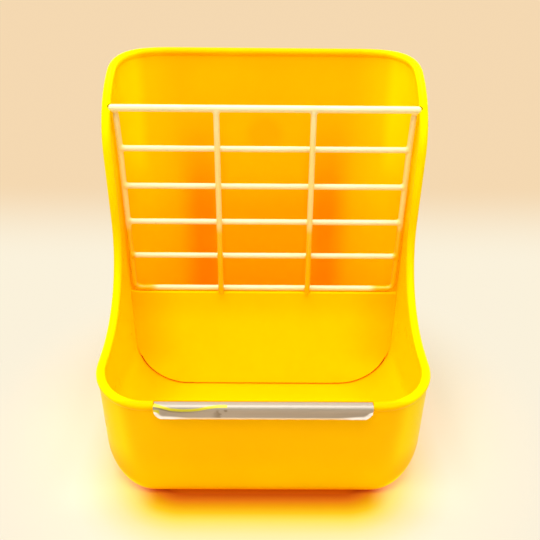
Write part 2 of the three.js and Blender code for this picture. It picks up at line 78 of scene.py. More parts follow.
# Grille, in millimetres
WIRE = 3.2
AXLE = 3.8
AXLE_DROP = 23.1
AXLE_SEAT = 1.4
FIRST_ROW_DROP = 22.3
ROW_PITCH = 21.0
CROSSBAR_COUNT = 4
COLUMN_PITCH = 50.3
FRAME_SIDE_CLEARANCE = 0.9
FRAME_TOP_CLEARANCE = 0.2
FRAME_TOP_SINK = 0.6
FRAME_CORNER_RADIUS = 4.5
FRAME_TOP_LEAN = radians(38)
UPRIGHT_OVERRUN = 2.7
UPRIGHT_SINK = 0.5
FRAME_WELD = 2.0
AXLE_WELD = 1.9
CROSS_WELD = 1.75

# Chew guard, in millimetres
GUARD_END_INSET = 4.4
GUARD_HEIGHT = 6.8
GUARD_FLANGE = 4.4
GUARD_TOP_DROP = 0.5
GUARD_SHEET = 0.8
GUARD_BEND = 2.4
GUARD_LIP_HEIGHT = 1.2
GUARD_LIP_TURN = 0.8
GUARD_LIP_FLARE = 1.3
GUARD_FLARE_RUN = (18.0, 14.0)
GUARD_CORNER_RUN = 5.2
GUARD_CORNER_RISE = 6.0
GUARD_TOP_ROUND = 0.7
SEAT_GAP = 0.08

# Clamp, in millimetres
CLAMP_DROP = 48.9
BOSS_DIAMETER = 28.0
BOSS_THICKNESS = 2.4
BOSS_FOOT = 1.2
BOSS_EDGE = 0.6
STUD = 6.0
STUD_EMBED = 3.4
STUD_CHAMFER = 0.8
THREAD_LEAD = 3.0
THREAD_STARTS = 2
THREAD_DEPTH = 0.45
THREAD_STEP = 0.12
DISC = 27.0
DISC_THICKNESS = 3.2
DISC_RIM = 1.2
DISC_RIM_WIDTH = 2.4
DISC_RECESS = 0.35
WASHER = 14.0
WASHER_THICKNESS = 1.2
CLAMP_TRAVEL = 6.0
HUB = 11.0
HUB_LENGTH = 6.5
WING_SPAN = 27.0
WING_HEIGHT = 9.0
WING_THICKNESS = 2.2
WING_ROOT = 4.5
WING_LIFT = 0.4
WING_EDGE = 0.75

# Steps of the fine meshes
STRAIGHT_STEPS = 10
CORNER_STEPS = 28
SIDE_STEPS = 110
RIM_ARC_STEPS = 80
FILLET_STEPS = 14
WALL_ROWS = 22
BEAD_STEPS = 22
BEAD_FILLET_STEPS = 4
PANEL_INNER_STEPS = 10
WIRE_SIDES = 20
WIRE_STEPS = 40
WELD_SIDES = 16
WELD_RINGS = 12
CURVE_STEPS = 14
ROUND_STEPS = 96
STUD_SIDES = 64
TOOL_SIDES = 48
SHARP_ANGLE = 40.0
VOXEL = 0.42

# Camera, fitted to the photograph
FOCAL_PIXELS = 670.0
FRAME_PIXELS = 540.0
SENSOR = 36.0
CAMERA_ELEVATION = radians(27.05)
CAMERA_DISTANCE = 361.86
CAMERA_TARGET_HEIGHT = 96.1
CAMERA_TURN = atan(5.763 / FOCAL_PIXELS)
CAMERA_ROLL = radians(0.327)

# Floor and light; the lamp's places and sizes are in metres
FLOOR_REACH = 9000.0
SOFT_LIGHT = (1.0, 0.98, 0.95)
SOFT_STRENGTH = 0.6
BACKDROP = (0.965, 0.885, 0.71)
LAMP_PLACE = (-0.07, -0.15, 1.2)
LAMP_TARGET = (0.0, 0.0, 0.05)
LAMP_SIZE = 1.0
LAMP_POWER = 20.0


def lerp(a, b, t):
    return a + (b - a) * t


def clamped(t):
    return min(1.0, max(0.0, t))


def smooth(t):
    t = clamped(t)
    return t * t * (3 - 2 * t)


def arc(x, y, radius, start, end, count, rise=None):
    """Points of a circle's arc, or of an ellipse's whose upright radius is rise."""
    angles = np.linspace(start, end, count)
    return [(x + radius * cos(a), y + (rise or radius) * sin(a)) for a in angles]


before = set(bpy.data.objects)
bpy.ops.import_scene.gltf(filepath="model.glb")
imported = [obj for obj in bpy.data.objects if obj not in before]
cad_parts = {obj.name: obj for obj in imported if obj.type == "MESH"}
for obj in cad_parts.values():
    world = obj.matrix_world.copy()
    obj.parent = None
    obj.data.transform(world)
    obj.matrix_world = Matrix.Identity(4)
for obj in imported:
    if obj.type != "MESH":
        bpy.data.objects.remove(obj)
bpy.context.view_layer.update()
scene = bpy.context.scene

# Places worked out from the sizes
BACK_FACE = BODY_DEPTH / 2 - BEAD_RADIUS + WALL / 2
LIP_FRONT_FACE = -BACK_FACE
LIP_CENTRE = LIP_HEIGHT - BEAD_RADIUS
BASE_FRONT_FACE = LIP_FRONT_FACE + LIP_CENTRE * tan(FRONT_DRAFT)
RIM_TOP = BODY_HEIGHT - BEAD_RADIUS
RIM_BACK = BACK_FACE - WALL / 2
CHEEK_FRONT = BODY_DEPTH / 2 - CHEEK_DEPTH
THROAT_TOP = RIM_TOP - SHOULDER_HEIGHT
SHOULDER_CENTRE = CHEEK_FRONT + SHOULDER_DEPTH
CLAMP_HEIGHT = BODY_HEIGHT - CLAMP_DROP
BOSS_FACE = BACK_FACE + BOSS_THICKNESS
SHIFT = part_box("feeder_body")[1].y / MM - BOSS_FACE

SIDE_RUN = BACK_FACE - BASE_FRONT_FACE
SIDE_INSET = FRONT_HALF_WIDTH - BACK_HALF_WIDTH
SIDE_ANGLE = atan2(SIDE_INSET, SIDE_RUN)
SIDE_X = cos(SIDE_ANGLE)
SIDE_Y = sin(SIDE_ANGLE)


def side_reach(height):
    return FRONT_HALF_WIDTH * SIDE_X + BASE_FRONT_FACE * SIDE_Y + height * tan(SIDE_DRAFT)


def side_half_width(y, height):
    return (side_reach(height) - y * SIDE_Y) / SIDE_X


def section(height):
    """Outer surface in plan at one height: the front line, then x, y and radius of each corner."""
    reach = side_reach(height)
    front = BASE_FRONT_FACE - height * tan(FRONT_DRAFT)
    back_radius = lerp(BACK_CORNER_RADIUS_LOW, BACK_CORNER_RADIUS_HIGH, height / BODY_HEIGHT)

    def corner(y, radius):
        return (reach - radius - y * SIDE_Y) / SIDE_X, y, radius

    front_corner = corner(front + FRONT_CORNER_RADIUS, FRONT_CORNER_RADIUS)
    return front, front_corner, corner(BACK_FACE - back_radius, back_radius)


def wall_point(stretch, share, height, inset):
    """A point of the wall in plan, with the direction that the wall faces there."""
    front, front_corner, back_corner = section(height)
    if stretch == "front":
        return front_corner[0] * share, front + inset, -pi / 2
    if stretch == "back":
        return back_corner[0] * (1 - share), BACK_FACE - inset, pi / 2
    if stretch == "side":
        a = wall_point("front_corner", 1, height, inset)
        b = wall_point("back_corner", 0, height, inset)
        return lerp(a[0], b[0], share), lerp(a[1], b[1], share), SIDE_ANGLE
    if stretch == "front_corner":
        (x, y, radius), facing = front_corner, lerp(-pi / 2, SIDE_ANGLE, share)
    else:
        (x, y, radius), facing = back_corner, lerp(SIDE_ANGLE, pi / 2, share)
    radius -= inset
    return x + radius * cos(facing), y + radius * sin(facing), facing


def edge_radius(stretch, share, end_radius, side_radius):
    """Radius of the bottom edge, which changes round the corners."""
    turns = {"side": 1.0, "front_corner": smooth(share), "back_corner": 1.0 - smooth(share)}
    return lerp(end_radius, side_radius, turns.get(stretch, 0.0))


def lip_height(y):
    return LIP_CENTRE + (y + RIM_BACK) * tan(LIP_SLOPE)


def shoulder_height(y):
    share = min(1.0, (SHOULDER_CENTRE - y) / SHOULDER_DEPTH)
    if share <= 0:
        return RIM_TOP
    return THROAT_TOP + SHOULDER_HEIGHT * sqrt(1 - share * share)


def distances(points):
    """How far along a line each of its points is."""
    steps = norm(np.diff(points, axis=0), axis=1)
    return np.concatenate([[0], np.cumsum(steps)])


def places_along(points, run, places):
    """Points of a line at the given distances along it."""
    return np.stack([np.interp(places, run, axis) for axis in points.T], 1)


def side_rim_line():
    """Rim over the side wall as (y, z): lip, throat, cheek and shoulder."""
    throat_y = CHEEK_FRONT - THROAT_RADIUS
    tangent = throat_y + THROAT_RADIUS * sin(LIP_SLOPE)
    throat_z = lip_height(tangent) + THROAT_RADIUS * cos(LIP_SLOPE)
    start = wall_point("side", 0, LIP_CENTRE, WALL / 2)[1]
    end = wall_point("side", 1, RIM_TOP, WALL / 2)[1]
    end_angle = pi - acos(max(0.0, (SHOULDER_CENTRE - end) / SHOULDER_DEPTH))
    line = [(start, lip_height(start)), (tangent, lip_height(tangent))]
    throat_start = LIP_SLOPE - pi / 2
    line += arc(throat_y, throat_z, THROAT_RADIUS, throat_start, 0, RIM_ARC_STEPS)[1:]
    line.append((CHEEK_FRONT, THROAT_TOP))
    shoulder = (SHOULDER_CENTRE, THROAT_TOP, SHOULDER_DEPTH)
    line += arc(*shoulder, pi, end_angle, RIM_ARC_STEPS, SHOULDER_HEIGHT)[1:]
    line = np.array(line, float)
    run = distances(line)
    return places_along(line, run, np.linspace(0, run[-1], SIDE_STEPS + 1))


def half_columns():
    """(stretch, rim share, base share, rim height) from the front centre to the back centre."""
    level = [i / STRAIGHT_STEPS for i in range(STRAIGHT_STEPS + 1)]
    corner = [i / CORNER_STEPS for i in range(CORNER_STEPS + 1)]
    columns = [("front", share, share, LIP_CENTRE) for share in level[:-1]]
    for share in corner[:-1]:
        y = wall_point("front_corner", share, LIP_CENTRE, WALL / 2)[1]
        columns.append(("front_corner", share, share, lip_height(y)))
    for i, (y, z) in enumerate(side_rim_line()):
        low, high = (wall_point("side", end, z, WALL / 2)[1] for end in (0, 1))
        columns.append(("side", clamped((y - low) / (high - low)), i / SIDE_STEPS, z))
    for share in corner[1:]:
        y = wall_point("back_corner", share, RIM_TOP, WALL / 2)[1]
        columns.append(("back_corner", share, share, shoulder_height(y)))
    return columns + [("back", share, share, RIM_TOP) for share in level[1:]]


def bead_outline():
    """Section of the rim bead and its fillets as (outwards, upwards) from the bead's centre."""
    arm = WALL / 2 + BEAD_FILLET
    drop = sqrt((BEAD_RADIUS + BEAD_FILLET) ** 2 - arm**2)
    turn = atan2(drop, -arm)
    start = atan2(-drop, arm)
    fillet = arc(arm, -drop, BEAD_FILLET, pi, turn, BEAD_FILLET_STEPS + 1)[:-1]
    bead = arc(0.0, 0.0, BEAD_RADIUS, start, pi - start, BEAD_STEPS + 1)
    return fillet + bead + [(-out, up) for out, up in reversed(fillet)], drop


def shell_rows(column, side, centre, along):
    """Points of one column from the underside, over the rim, to the floor inside."""
    stretch, rim_share, base_share, height = column
    outer = edge_radius(stretch, base_share, END_BOTTOM_RADIUS, SIDE_BOTTOM_RADIUS)
    inner = edge_radius(stretch, base_share, END_FLOOR_RADIUS, SIDE_FLOOR_RADIUS)
    facing_angle = wall_point(stretch, rim_share, height, 0)[2]
    facing = np.array([side * cos(facing_angle), sin(facing_angle), 0])
    upwards = np.cross(facing, along)
    upwards /= norm(upwards)
    outline, drop = bead_outline()
    joint = centre - upwards * drop
    low, high = (wall_point(stretch, end, joint[2], WALL / 2)[1] for end in (0, 1))
    joint_share = (joint[1] - low) / (high - low) if stretch == "side" else rim_share

    def at(share, level, inset):
        x, y, _ = wall_point(stretch, share, level, inset)
        return np.array([side * x, y, level])

    def fillet(radius, level, inset):
        line = []
        for i in range(FILLET_STEPS + 1):
            a = i / FILLET_STEPS * pi / 2
            rise, depth = radius * (1 - cos(a)), radius * (1 - sin(a))
            line.append(at(base_share, level + rise, inset + depth))
        return line

    def wall(start, inset):
        shares = [i / WALL_ROWS for i in range(1, WALL_ROWS)]
        places = [(lerp(base_share, joint_share, t), lerp(start, joint[2], t)) for t in shares]
        return [at(share, level, inset) for share, level in places]

    outside = fillet(outer, 0.0, 0.0) + wall(outer, 0.0)
    inside = fillet(inner, FLOOR, WALL) + wall(FLOOR + inner, WALL)
    return outside + [centre + facing * out + upwards * up for out, up in outline] + inside[::-1]


def tidy_faces(obj, angle):
    """Faces turned outwards and shaded smooth, with sharp edges above the angle."""
    bm = bmesh.new()
    bm.from_mesh(obj.data)
    bmesh.ops.remove_doubles(bm, verts=bm.verts, dist=1e-7)
    bmesh.ops.recalc_face_normals(bm, faces=bm.faces)
    bm.to_mesh(obj.data)
    bm.free()
    obj.data.shade_smooth()
    obj.data.set_sharp_from_angle(angle=radians(angle))


def adjusted(thing, **settings):
    for name, value in settings.items():
        setattr(thing, name, value)
    return thing


def put(name, data):
    """A new object of the scene."""
    obj = bpy.data.objects.new(name, data)
    scene.collection.objects.link(obj)
    return obj


def new_object(name, points, faces, angle=SHARP_ANGLE):
    """A smooth shaded mesh from the body's own millimetres, its edges sharp above the angle."""
    mesh = bpy.data.meshes.new(name)
    places = (np.array(points, float) + [0.0, SHIFT, 0.0]) * MM
    mesh.from_pydata(places.tolist(), [], faces)
    mesh.validate()
    obj = put(name, mesh)
    tidy_faces(obj, angle)
    return obj


def apply_modifiers(obj):
    graph = bpy.context.evaluated_depsgraph_get()
    mesh = bpy.data.meshes.new_from_object(obj.evaluated_get(graph))
    obj.modifiers.clear()
    obj.data = mesh


def cut(obj, *tools):
    """Takes closed tool meshes out of an object and deletes them."""
    for tool in tools:
        modifier = obj.modifiers.new("cut", "BOOLEAN")
        adjusted(modifier, operation="DIFFERENCE", solver="EXACT", object=tool)
    apply_modifiers(obj)
    for tool in tools:
        bpy.data.objects.remove(tool)


def keep_values(obj, name, rule):
    """One number per point for the materials, from its place in mm."""
    attribute = obj.data.attributes.new(name, "FLOAT", "POINT")
    for item, vertex in zip(attribute.data, obj.data.vertices):
        x, y, z = vertex.co / MM
        item.value = rule(x, y - SHIFT, z)


def grid_faces(columns, rows, caps=False):
    """Quads of a ring of columns, whose points run row by row, and the caps of its two ends."""
    faces = []
    for c in range(columns):
        n = (c + 1) % columns
        for r in range(rows - 1):
            faces.append((c * rows + r, n * rows + r, n * rows + r + 1, c * rows + r + 1))
    if caps:
        faces += [[c * rows + end for c in range(columns)] for end in (0, rows - 1)]
    return faces


def body_shell():
    half = half_columns()
    columns = [(c, 1) for c in half] + [(c, -1) for c in reversed(half[1:-1])]
    centres = []
    for column, side in columns:
        x, y, _ = wall_point(column[0], column[1], column[3], WALL / 2)
        centres.append(np.array([side * x, y, column[3]]))
    points = []
    for i, (column, side) in enumerate(columns):
        along = centres[(i + 1) % len(centres)] - centres[i - 1]
        points += shell_rows(column, side, centres[i], along / norm(along))
    faces = grid_faces(len(columns), len(points) // len(columns), caps=True)
    return new_object("body_shell", points, faces)


def turned_points(profile, sides, axis, centre):
    """(radius, place) pairs turned round an axis, which is 0 for x, 1 for y and 2 for z."""
    points = []
    for k in range(sides):
        a = 2 * pi * k / sides
        for radius, place in profile:
            point = [radius * cos(a), radius * sin(a)]
            point.insert(axis, place)
            points.append(np.add(centre, point))
    return points


def revolved(name, profile, sides, axis, centre, angle=SHARP_ANGLE):
    """A turned piece from (radius, place) pairs, capped where its profile is open."""
    faces = grid_faces(sides, len(profile), caps=profile[0] != profile[-1])
    return new_object(name, turned_points(profile, sides, axis, centre), faces, angle)


def block(name, low, high):
    x0, y0, z0 = low
    x1, y1, z1 = high
    points = [(x, y, z) for x in (x0, x1) for y in (y0, y1) for z in (z0, z1)]
    faces = [(0, 1, 3, 2), (4, 6, 7, 5), (0, 4, 5, 1), (2, 3, 7, 6), (0, 2, 6, 4), (1, 5, 7, 3)]
    return new_object(name, points, faces)


# Grille and guard places
AXLE_HEIGHT = BODY_HEIGHT - AXLE_DROP
AXLE_RISE = (AXLE_HEIGHT - THROAT_TOP) / SHOULDER_HEIGHT
AXLE_Y = SHOULDER_CENTRE - SHOULDER_DEPTH * sqrt(1 - AXLE_RISE**2)
CROSSBAR_Y = AXLE_Y + WIRE + CLEARANCE
ROWS = [AXLE_HEIGHT - FIRST_ROW_DROP - i * ROW_PITCH for i in range(CROSSBAR_COUNT + 1)]
PANEL_TOP = ROWS[-1] - WIRE / 2 - CLEARANCE
PANEL_FRONT = AXLE_Y + WIRE / 2 + CLEARANCE
RIM_INNER = side_half_width(AXLE_Y, AXLE_HEIGHT) - WALL / 2 - BEAD_RADIUS
AXLE_LENGTH = 2 * (RIM_INNER + AXLE_SEAT)
SOCKET_END = AXLE_LENGTH / 2 + CLEARANCE
GUARD_HALF = section(LIP_CENTRE)[1][0] - GUARD_END_INSET
GUARD_INNER = BEAD_RADIUS + CLEARANCE
GUARD_OUTER = GUARD_INNER + GUARD_SHEET
GUARD_TOP = BEAD_RADIUS - GUARD_TOP_DROP
GUARD_LOW = GUARD_TOP - GUARD_HEIGHT
GUARD_REAR = GUARD_FLANGE - GUARD_OUTER


def inner_half_width(y, z, depth):
    """Half the way between the side walls, at a depth under their inner face and floor edge."""
    radius = SIDE_FLOOR_RADIUS + depth
    rise = max(0.0, (FLOOR - depth + radius - z) / radius)
    extra = radius * (1 - sqrt(max(0.0, 1 - rise * rise)))
    return side_half_width(y, z) - (WALL - depth + extra) / SIDE_X


def line_distance(p, line):
    """Distance of a point from a line of points."""
    a, b = line[:-1], line[1:]
    ab = b - a
    t = np.clip(((p - a) * ab).sum(1) / np.maximum((ab**2).sum(1), 1e-9), 0, 1)
    return norm(a + ab * t[:, None] - p, axis=1).min()


def body_panel():
    """The upright panel, whose hidden edge runs inside the walls and floor, its top rounded."""
    middle = PANEL_FRONT + PANEL_THICKNESS / 2
    bottom = FLOOR - PANEL_HIDDEN
    radius = SIDE_FLOOR_RADIUS + PANEL_HIDDEN
    levels = list(np.linspace(PANEL_TOP, bottom + radius, 24)[:-1])
    levels += [bottom + radius * (1 - sin(a)) for a in np.linspace(0, pi / 2, 30)]
    right = [(inner_half_width(middle, z, PANEL_HIDDEN), z) for z in levels]
    right += [(x, bottom) for x in np.linspace(right[-1][0], 0, 26)[1:]]
    top_x = right[0][0]
    wall_line = np.array(right + [(-x, z) for x, z in reversed(right[:-1])])
    top_line = np.array([(x, PANEL_TOP) for x in np.linspace(-top_x, top_x, 60)[1:-1]])
    outline = np.concatenate([wall_line, top_line])
    following = np.roll(outline, -1, axis=0) - np.roll(outline, 1, axis=0)
    spine_low = bottom + PANEL_SPINE_INSET
    spine_high = PANEL_TOP - PANEL_SPINE_DROP
    spine_reach = top_x - PANEL_SPINE_INSET
    crest = np.array([(-top_x - 5, PANEL_TOP), (top_x + 5, PANEL_TOP)])
    half = PANEL_THICKNESS / 2

    def groove_share(z):
        return smooth((bottom + radius - z) / PANEL_GROOVE_FADE)

    def sunk_width(z):
        return PANEL_HIDDEN + PANEL_GROOVE_WIDTH * groove_share(z)

    points = []
    for p, along in zip(outline, following):
        spine_x = np.clip(p[0], -spine_reach, spine_reach) * PANEL_SPINE_SHARE
        inward = np.array([spine_x, np.clip(p[1], spine_low, spine_high)]) - p
        length = norm(inward)
        across = abs(inward[0] * along[1] - inward[1] * along[0])
        facing = max(across / (length * norm(along)), 0.6)
        sunk = sunk_width(p[1])
        steps = [sunk - PANEL_STEP, sunk + PANEL_STEP]
        depths = PANEL_OUTER_DEPTHS + steps + PANEL_INNER_DEPTHS
        shares = [d / (length * facing) for d in depths]
        shares += list(np.linspace(shares[-1], 1, PANEL_INNER_STEPS)[1:])
        for share in shares:
            q = p + inward * share
            back = half
            from_crest = line_distance(q, crest)
            if from_crest < half:
                back -= half - sqrt(max(0.0, half**2 - (half - from_crest) ** 2))
            in_groove = line_distance(q, wall_line) < sunk
            front = min(back, half - PANEL_GROOVE_DEPTH) if in_groove else back
            points.append((q[0], q[1], front, back))
    count = len(outline)
    rows = len(points) // count
    front = [(x, middle - f, z) for x, z, f, _ in points]
    back = [(x, middle + b, z) for x, z, _, b in points]
    offset = len(front)
    faces = grid_faces(count, rows) + [[c * rows + rows - 1 for c in range(count)]]
    faces += [tuple(i + offset for i in reversed(face)) for face in faces]
    for c in range(count):
        n = (c + 1) % count
        faces.append((c * rows, offset + c * rows, offset + n * rows, n * rows))
    obj = new_object("body_panel", front + back, faces, 60)

    def groove_value(x, y, z):
        near = line_distance(np.array([x, z]), wall_line) < sunk_width(z)
        return groove_share(z) if near and y < middle else 0.0

    keep_values(obj, "groove", groove_value)
    return obj


def domed(points, radius):
    """(point, radius share) pairs with the ends rounded off within the line's length."""
    table = np.array(points, float)
    run = distances(table)
    total = run[-1]
    marks = [m * radius for m in (0.0, 0.06, 0.2, 0.42, 0.7, 1.0)]
    places = marks + list(run[(run > radius) & (run < total - radius)])
    places += [total - mark for mark in reversed(marks)]
    result = []
    for s, p in zip(places, places_along(table, run, places)):
        end = min(s, total - s)
        share = sqrt(max(0.0, 1 - (1 - end / radius) ** 2)) if end < radius else 1.0
        result.append((p, max(share, 0.02)))
    return result


def swept(points, radius):
    """Points and faces of a round wire along a line, its ends domed."""
    line = domed(points, radius)
    rings = []
    for i, (p, scale) in enumerate(line):
        along = line[min(i + 1, len(line) - 1)][0] - line[max(i - 1, 0)][0]
        along /= norm(along)
        across = np.array([0.0, 1.0, 0.0]) - along * along[1]
        across /= norm(across)
        third = np.cross(along, across)
        turns = [2 * pi * k / WIRE_SIDES for k in range(WIRE_SIDES)]
        ways = [across * cos(a) + third * sin(a) for a in turns]
        rings.append([p + way * radius * scale for way in ways])
    verts = [ring[k] for k in range(WIRE_SIDES) for ring in rings]
    return verts, grid_faces(WIRE_SIDES, len(rings), caps=True)


def weld(centre, radius):
    """Points and faces of a ball of coating, nearly closed at its poles."""
    angles = np.linspace(0.08, pi - 0.08, WELD_RINGS)
    profile = [(radius * sin(a), radius * cos(a)) for a in angles]
    points = turned_points(profile, WELD_SIDES, 2, centre)
    return points, grid_faces(WELD_SIDES, WELD_RINGS, caps=True)


def frame_half_width(height):
    return side_half_width(CROSSBAR_Y, height) - WALL - FRAME_SIDE_CLEARANCE - WIRE / 2


def bend(a, corner, b):
    """Points of a smooth bend from a past a corner to b, without the first."""
    shares = np.linspace(0, 1, 12)[1:]
    return [a * (1 - t) ** 2 + corner * 2 * t * (1 - t) + b * t * t for t in shares]


def straight(a, b, count):
    """Points of a straight line from a to b, without the first."""
    return [lerp(a, b, t) for t in np.linspace(0, 1, count)[1:]]


def frame_route():
    """Middle of the frame wire, from its top on the right, round below, to its top on the left."""
    reach = AXLE / 2 + WIRE / 2 - FRAME_TOP_SINK
    top_y = AXLE_Y + reach * sin(FRAME_TOP_LEAN)
    top_z = AXLE_HEIGHT - reach * cos(FRAME_TOP_LEAN)
    top = np.array([RIM_INNER - FRAME_TOP_CLEARANCE - WIRE / 2, top_y, top_z])
    heights = (ROWS[0], ROWS[-1] + FRAME_CORNER_RADIUS, ROWS[-1])
    elbow, start, corner = (np.array([frame_half_width(z), CROSSBAR_Y, z]) for z in heights)
    end = corner - np.array([FRAME_CORNER_RADIUS, 0, 0])
    above = elbow + (top - elbow) * 0.25
    below = elbow + (start - elbow) * 0.07
    half = [top] + straight(top, above, 6) + bend(above, elbow, below)
    half += straight(below, start, 14) + bend(start, corner, end)
    half += straight(end, end * np.array([0, 1, 1]), 20)
    return half + [p * np.array([-1, 1, 1]) for p in reversed(half[:-1])]


def coated_grille():
    """All the welded wires as one dipped piece, with small fillets of coating at the welds."""
    verts = []
    faces = []

    def add(part):
        offset = len(verts)
        verts.extend(part[0])
        faces.extend([tuple(i + offset for i in face) for face in part[1]])

    def add_level(half, y, z, radius):
        add(swept([(x, y, z) for x in np.linspace(-half, half, WIRE_STEPS)], radius))

    route = frame_route()
    add_level(AXLE_LENGTH / 2, AXLE_Y, AXLE_HEIGHT, AXLE / 2)
    add(swept(route, WIRE / 2))
    welds = []
    for row in ROWS[:-1]:
        end = frame_half_width(row)
        add_level(end, CROSSBAR_Y, row, WIRE / 2)
        weld_x = end - WIRE * 0.35
        welds += [((side * weld_x, CROSSBAR_Y, row), FRAME_WELD) for side in (-1, 1)]
    top = route[0]
    low = ROWS[-1] - UPRIGHT_OVERRUN
    high = AXLE_HEIGHT - AXLE / 2 + UPRIGHT_SINK
    for side in (-1, 1):
        x = side * COLUMN_PITCH / 2
        add(swept([(x, AXLE_Y, z) for z in np.linspace(low, high, WIRE_STEPS)], WIRE / 2))
        welds.append(((x, AXLE_Y, AXLE_HEIGHT - AXLE / 2), AXLE_WELD))
        welds += [((x, (AXLE_Y + CROSSBAR_Y) / 2, row), CROSS_WELD) for row in ROWS]
        frame_end = (side * top[0], (top[1] + AXLE_Y) / 2, (top[2] + AXLE_HEIGHT) / 2)
        welds.append((frame_end, FRAME_WELD))
    for centre, radius in welds:
        add(weld(centre, radius))
    obj = new_object("grille_coated_wire", verts, faces, 180)
    size = VOXEL * MM
    adjusted(obj.modifiers.new("remesh", "REMESH"), mode="VOXEL", voxel_size=size)
    adjusted(obj.modifiers.new("relax", "SMOOTH"), factor=0.5, iterations=4)
    apply_modifiers(obj)
    obj.data.shade_smooth()
    return obj


def guard_outline():
    """Section of the bent strip as (y, z) from the bead's centre: outer face, then inner face."""
    under = GUARD_TOP - GUARD_SHEET
    inside_bend = GUARD_BEND - GUARD_SHEET
    edge = GUARD_SHEET / 2
    quarter = pi / 2
    low = GUARD_LOW + edge
    rear = GUARD_REAR - edge
    bend_y = GUARD_BEND - GUARD_OUTER
    inner_bend_y = inside_bend - GUARD_INNER
    bend_z = GUARD_TOP - GUARD_BEND
    drops = [1 - sin(a) for a in np.linspace(0, quarter, 22)[1:]]
    outline = arc(rear, GUARD_TOP - edge, edge, 0, quarter, 5)
    outline += [(y, GUARD_TOP) for y in np.linspace(rear, bend_y, 5)[1:-1]]
    outline += arc(bend_y, bend_z, GUARD_BEND, quarter, pi, 9)
    outline += [(-GUARD_OUTER, lerp(low, bend_z, d)) for d in drops]
    outline += arc(edge - GUARD_OUTER, low, edge, pi, 2 * pi, 5)[1:]
    outline += [(-GUARD_INNER, lerp(low, under - inside_bend, d)) for d in reversed(drops[:-1])]
    outline.append((-GUARD_INNER, under - inside_bend))
    outline += arc(inner_bend_y, under - inside_bend, inside_bend, pi, quarter, 7)[1:]
    outline += [(y, under) for y in np.linspace(inner_bend_y, rear, 5)[1:]]
    outline += arc(rear, GUARD_TOP - edge, edge, -quarter, 0, 5)[1:-1]
    return outline


def corner_inset(rise):
    """How much shorter than its top the strip is at a height above its lower edge."""
    share = clamped(rise / GUARD_CORNER_RISE)
    return GUARD_CORNER_RUN * (1 - sqrt(1 - (1 - share) ** 2))


def lip_turn(x, rise, edge):
    """Share of the full turn at a place of the strip's front, by its distance from the edge."""
    away = np.hypot(edge[:, 0] - abs(x), edge[:, 1] - max(0.0, rise)).min()
    start, run = GUARD_FLARE_RUN
    flare = GUARD_LIP_FLARE * smooth((abs(x) - GUARD_HALF + start) / run)
    turn = max(0.0, 1 - away / (GUARD_LIP_HEIGHT + flare))
    return turn * smooth((GUARD_CORNER_RISE - 1 - rise) / 2)


def steel_guard():
    """The bent strip, its lower corners rounded and its lower edge turned out."""
    outline = guard_outline()
    low_end = GUARD_HALF - GUARD_CORNER_RUN
    rises = np.linspace(0, GUARD_CORNER_RISE, 60)
    edge = [(x, 0.0) for x in np.linspace(0, low_end, 90)]
    edge = np.array(edge + [(GUARD_HALF - corner_inset(rise), rise) for rise in rises])
    ends = np.linspace(0.9, 1, 20)
    shares = np.concatenate([np.linspace(-1, -0.9, 20), np.linspace(-0.9, 0.9, 60)[1:-1], ends])
    points = []
    for y, z in outline:
        rise = z - GUARD_LOW
        over = max(0.0, rise - (GUARD_HEIGHT - GUARD_TOP_ROUND))
        for x in (GUARD_HALF - corner_inset(rise) - 0.35 * over**2) * shares:
            out = GUARD_LIP_TURN * lip_turn(x, rise, edge) ** 1.3
            points.append((x, y - RIM_BACK - out, LIP_CENTRE + z))
    faces = grid_faces(len(outline), len(shares), caps=True)
    faces[-1].reverse()
    obj = new_object("guard_strip", points, faces, 50)

    def lip_share(x, y, z):
        ahead = y < GUARD_INNER * -0.5 - RIM_BACK
        return lip_turn(x, z - LIP_CENTRE - GUARD_LOW, edge) if ahead else 0.0

    keep_values(obj, "lip", lip_share)
    return obj


# Clamp pieces
DISC_FACE = BOSS_FACE + CLEARANCE
DISC_BACK = DISC_FACE + DISC_THICKNESS
WASHER_FACE = DISC_BACK + CLEARANCE
WASHER_BACK = WASHER_FACE + WASHER_THICKNESS
NUT_FACE = WASHER_BACK + CLEARANCE
NUT_END = NUT_FACE + HUB_LENGTH
STUD_END = NUT_END + CLAMP_TRAVEL
BORE = STUD / 2 + CLEARANCE
CLAMP_AXIS = (0.0, 0.0, CLAMP_HEIGHT)


def quadratic(a, control, b, steps):
    a, control, b = (np.array(p, float) for p in (a, control, b))
    shares = np.linspace(0, 1, steps)
    return [tuple(lerp(lerp(a, control, t), lerp(control, b, t), t)) for t in shares]


def softened(outline, size):
    """A closed outline with its corners rounded."""
    result = []
    count = len(outline)
    for i, corner in enumerate(outline):
        corner = np.array(corner, float)
        sides = []
        for other in (outline[i - 1], outline[(i + 1) % count]):
            away = np.array(other, float) - corner
            length = norm(away)
            sides.append(corner + away / length * min(size, length * 0.45))
        result += quadratic(sides[0], corner, sides[1], 5)
    return result


def turned(name, outline, size):
    """A clamp piece turned about the stud, from (radius, place) corners."""
    profile = softened(outline, size)
    return revolved(name, profile + [profile[0]], ROUND_STEPS, 1, CLAMP_AXIS, 50.0)


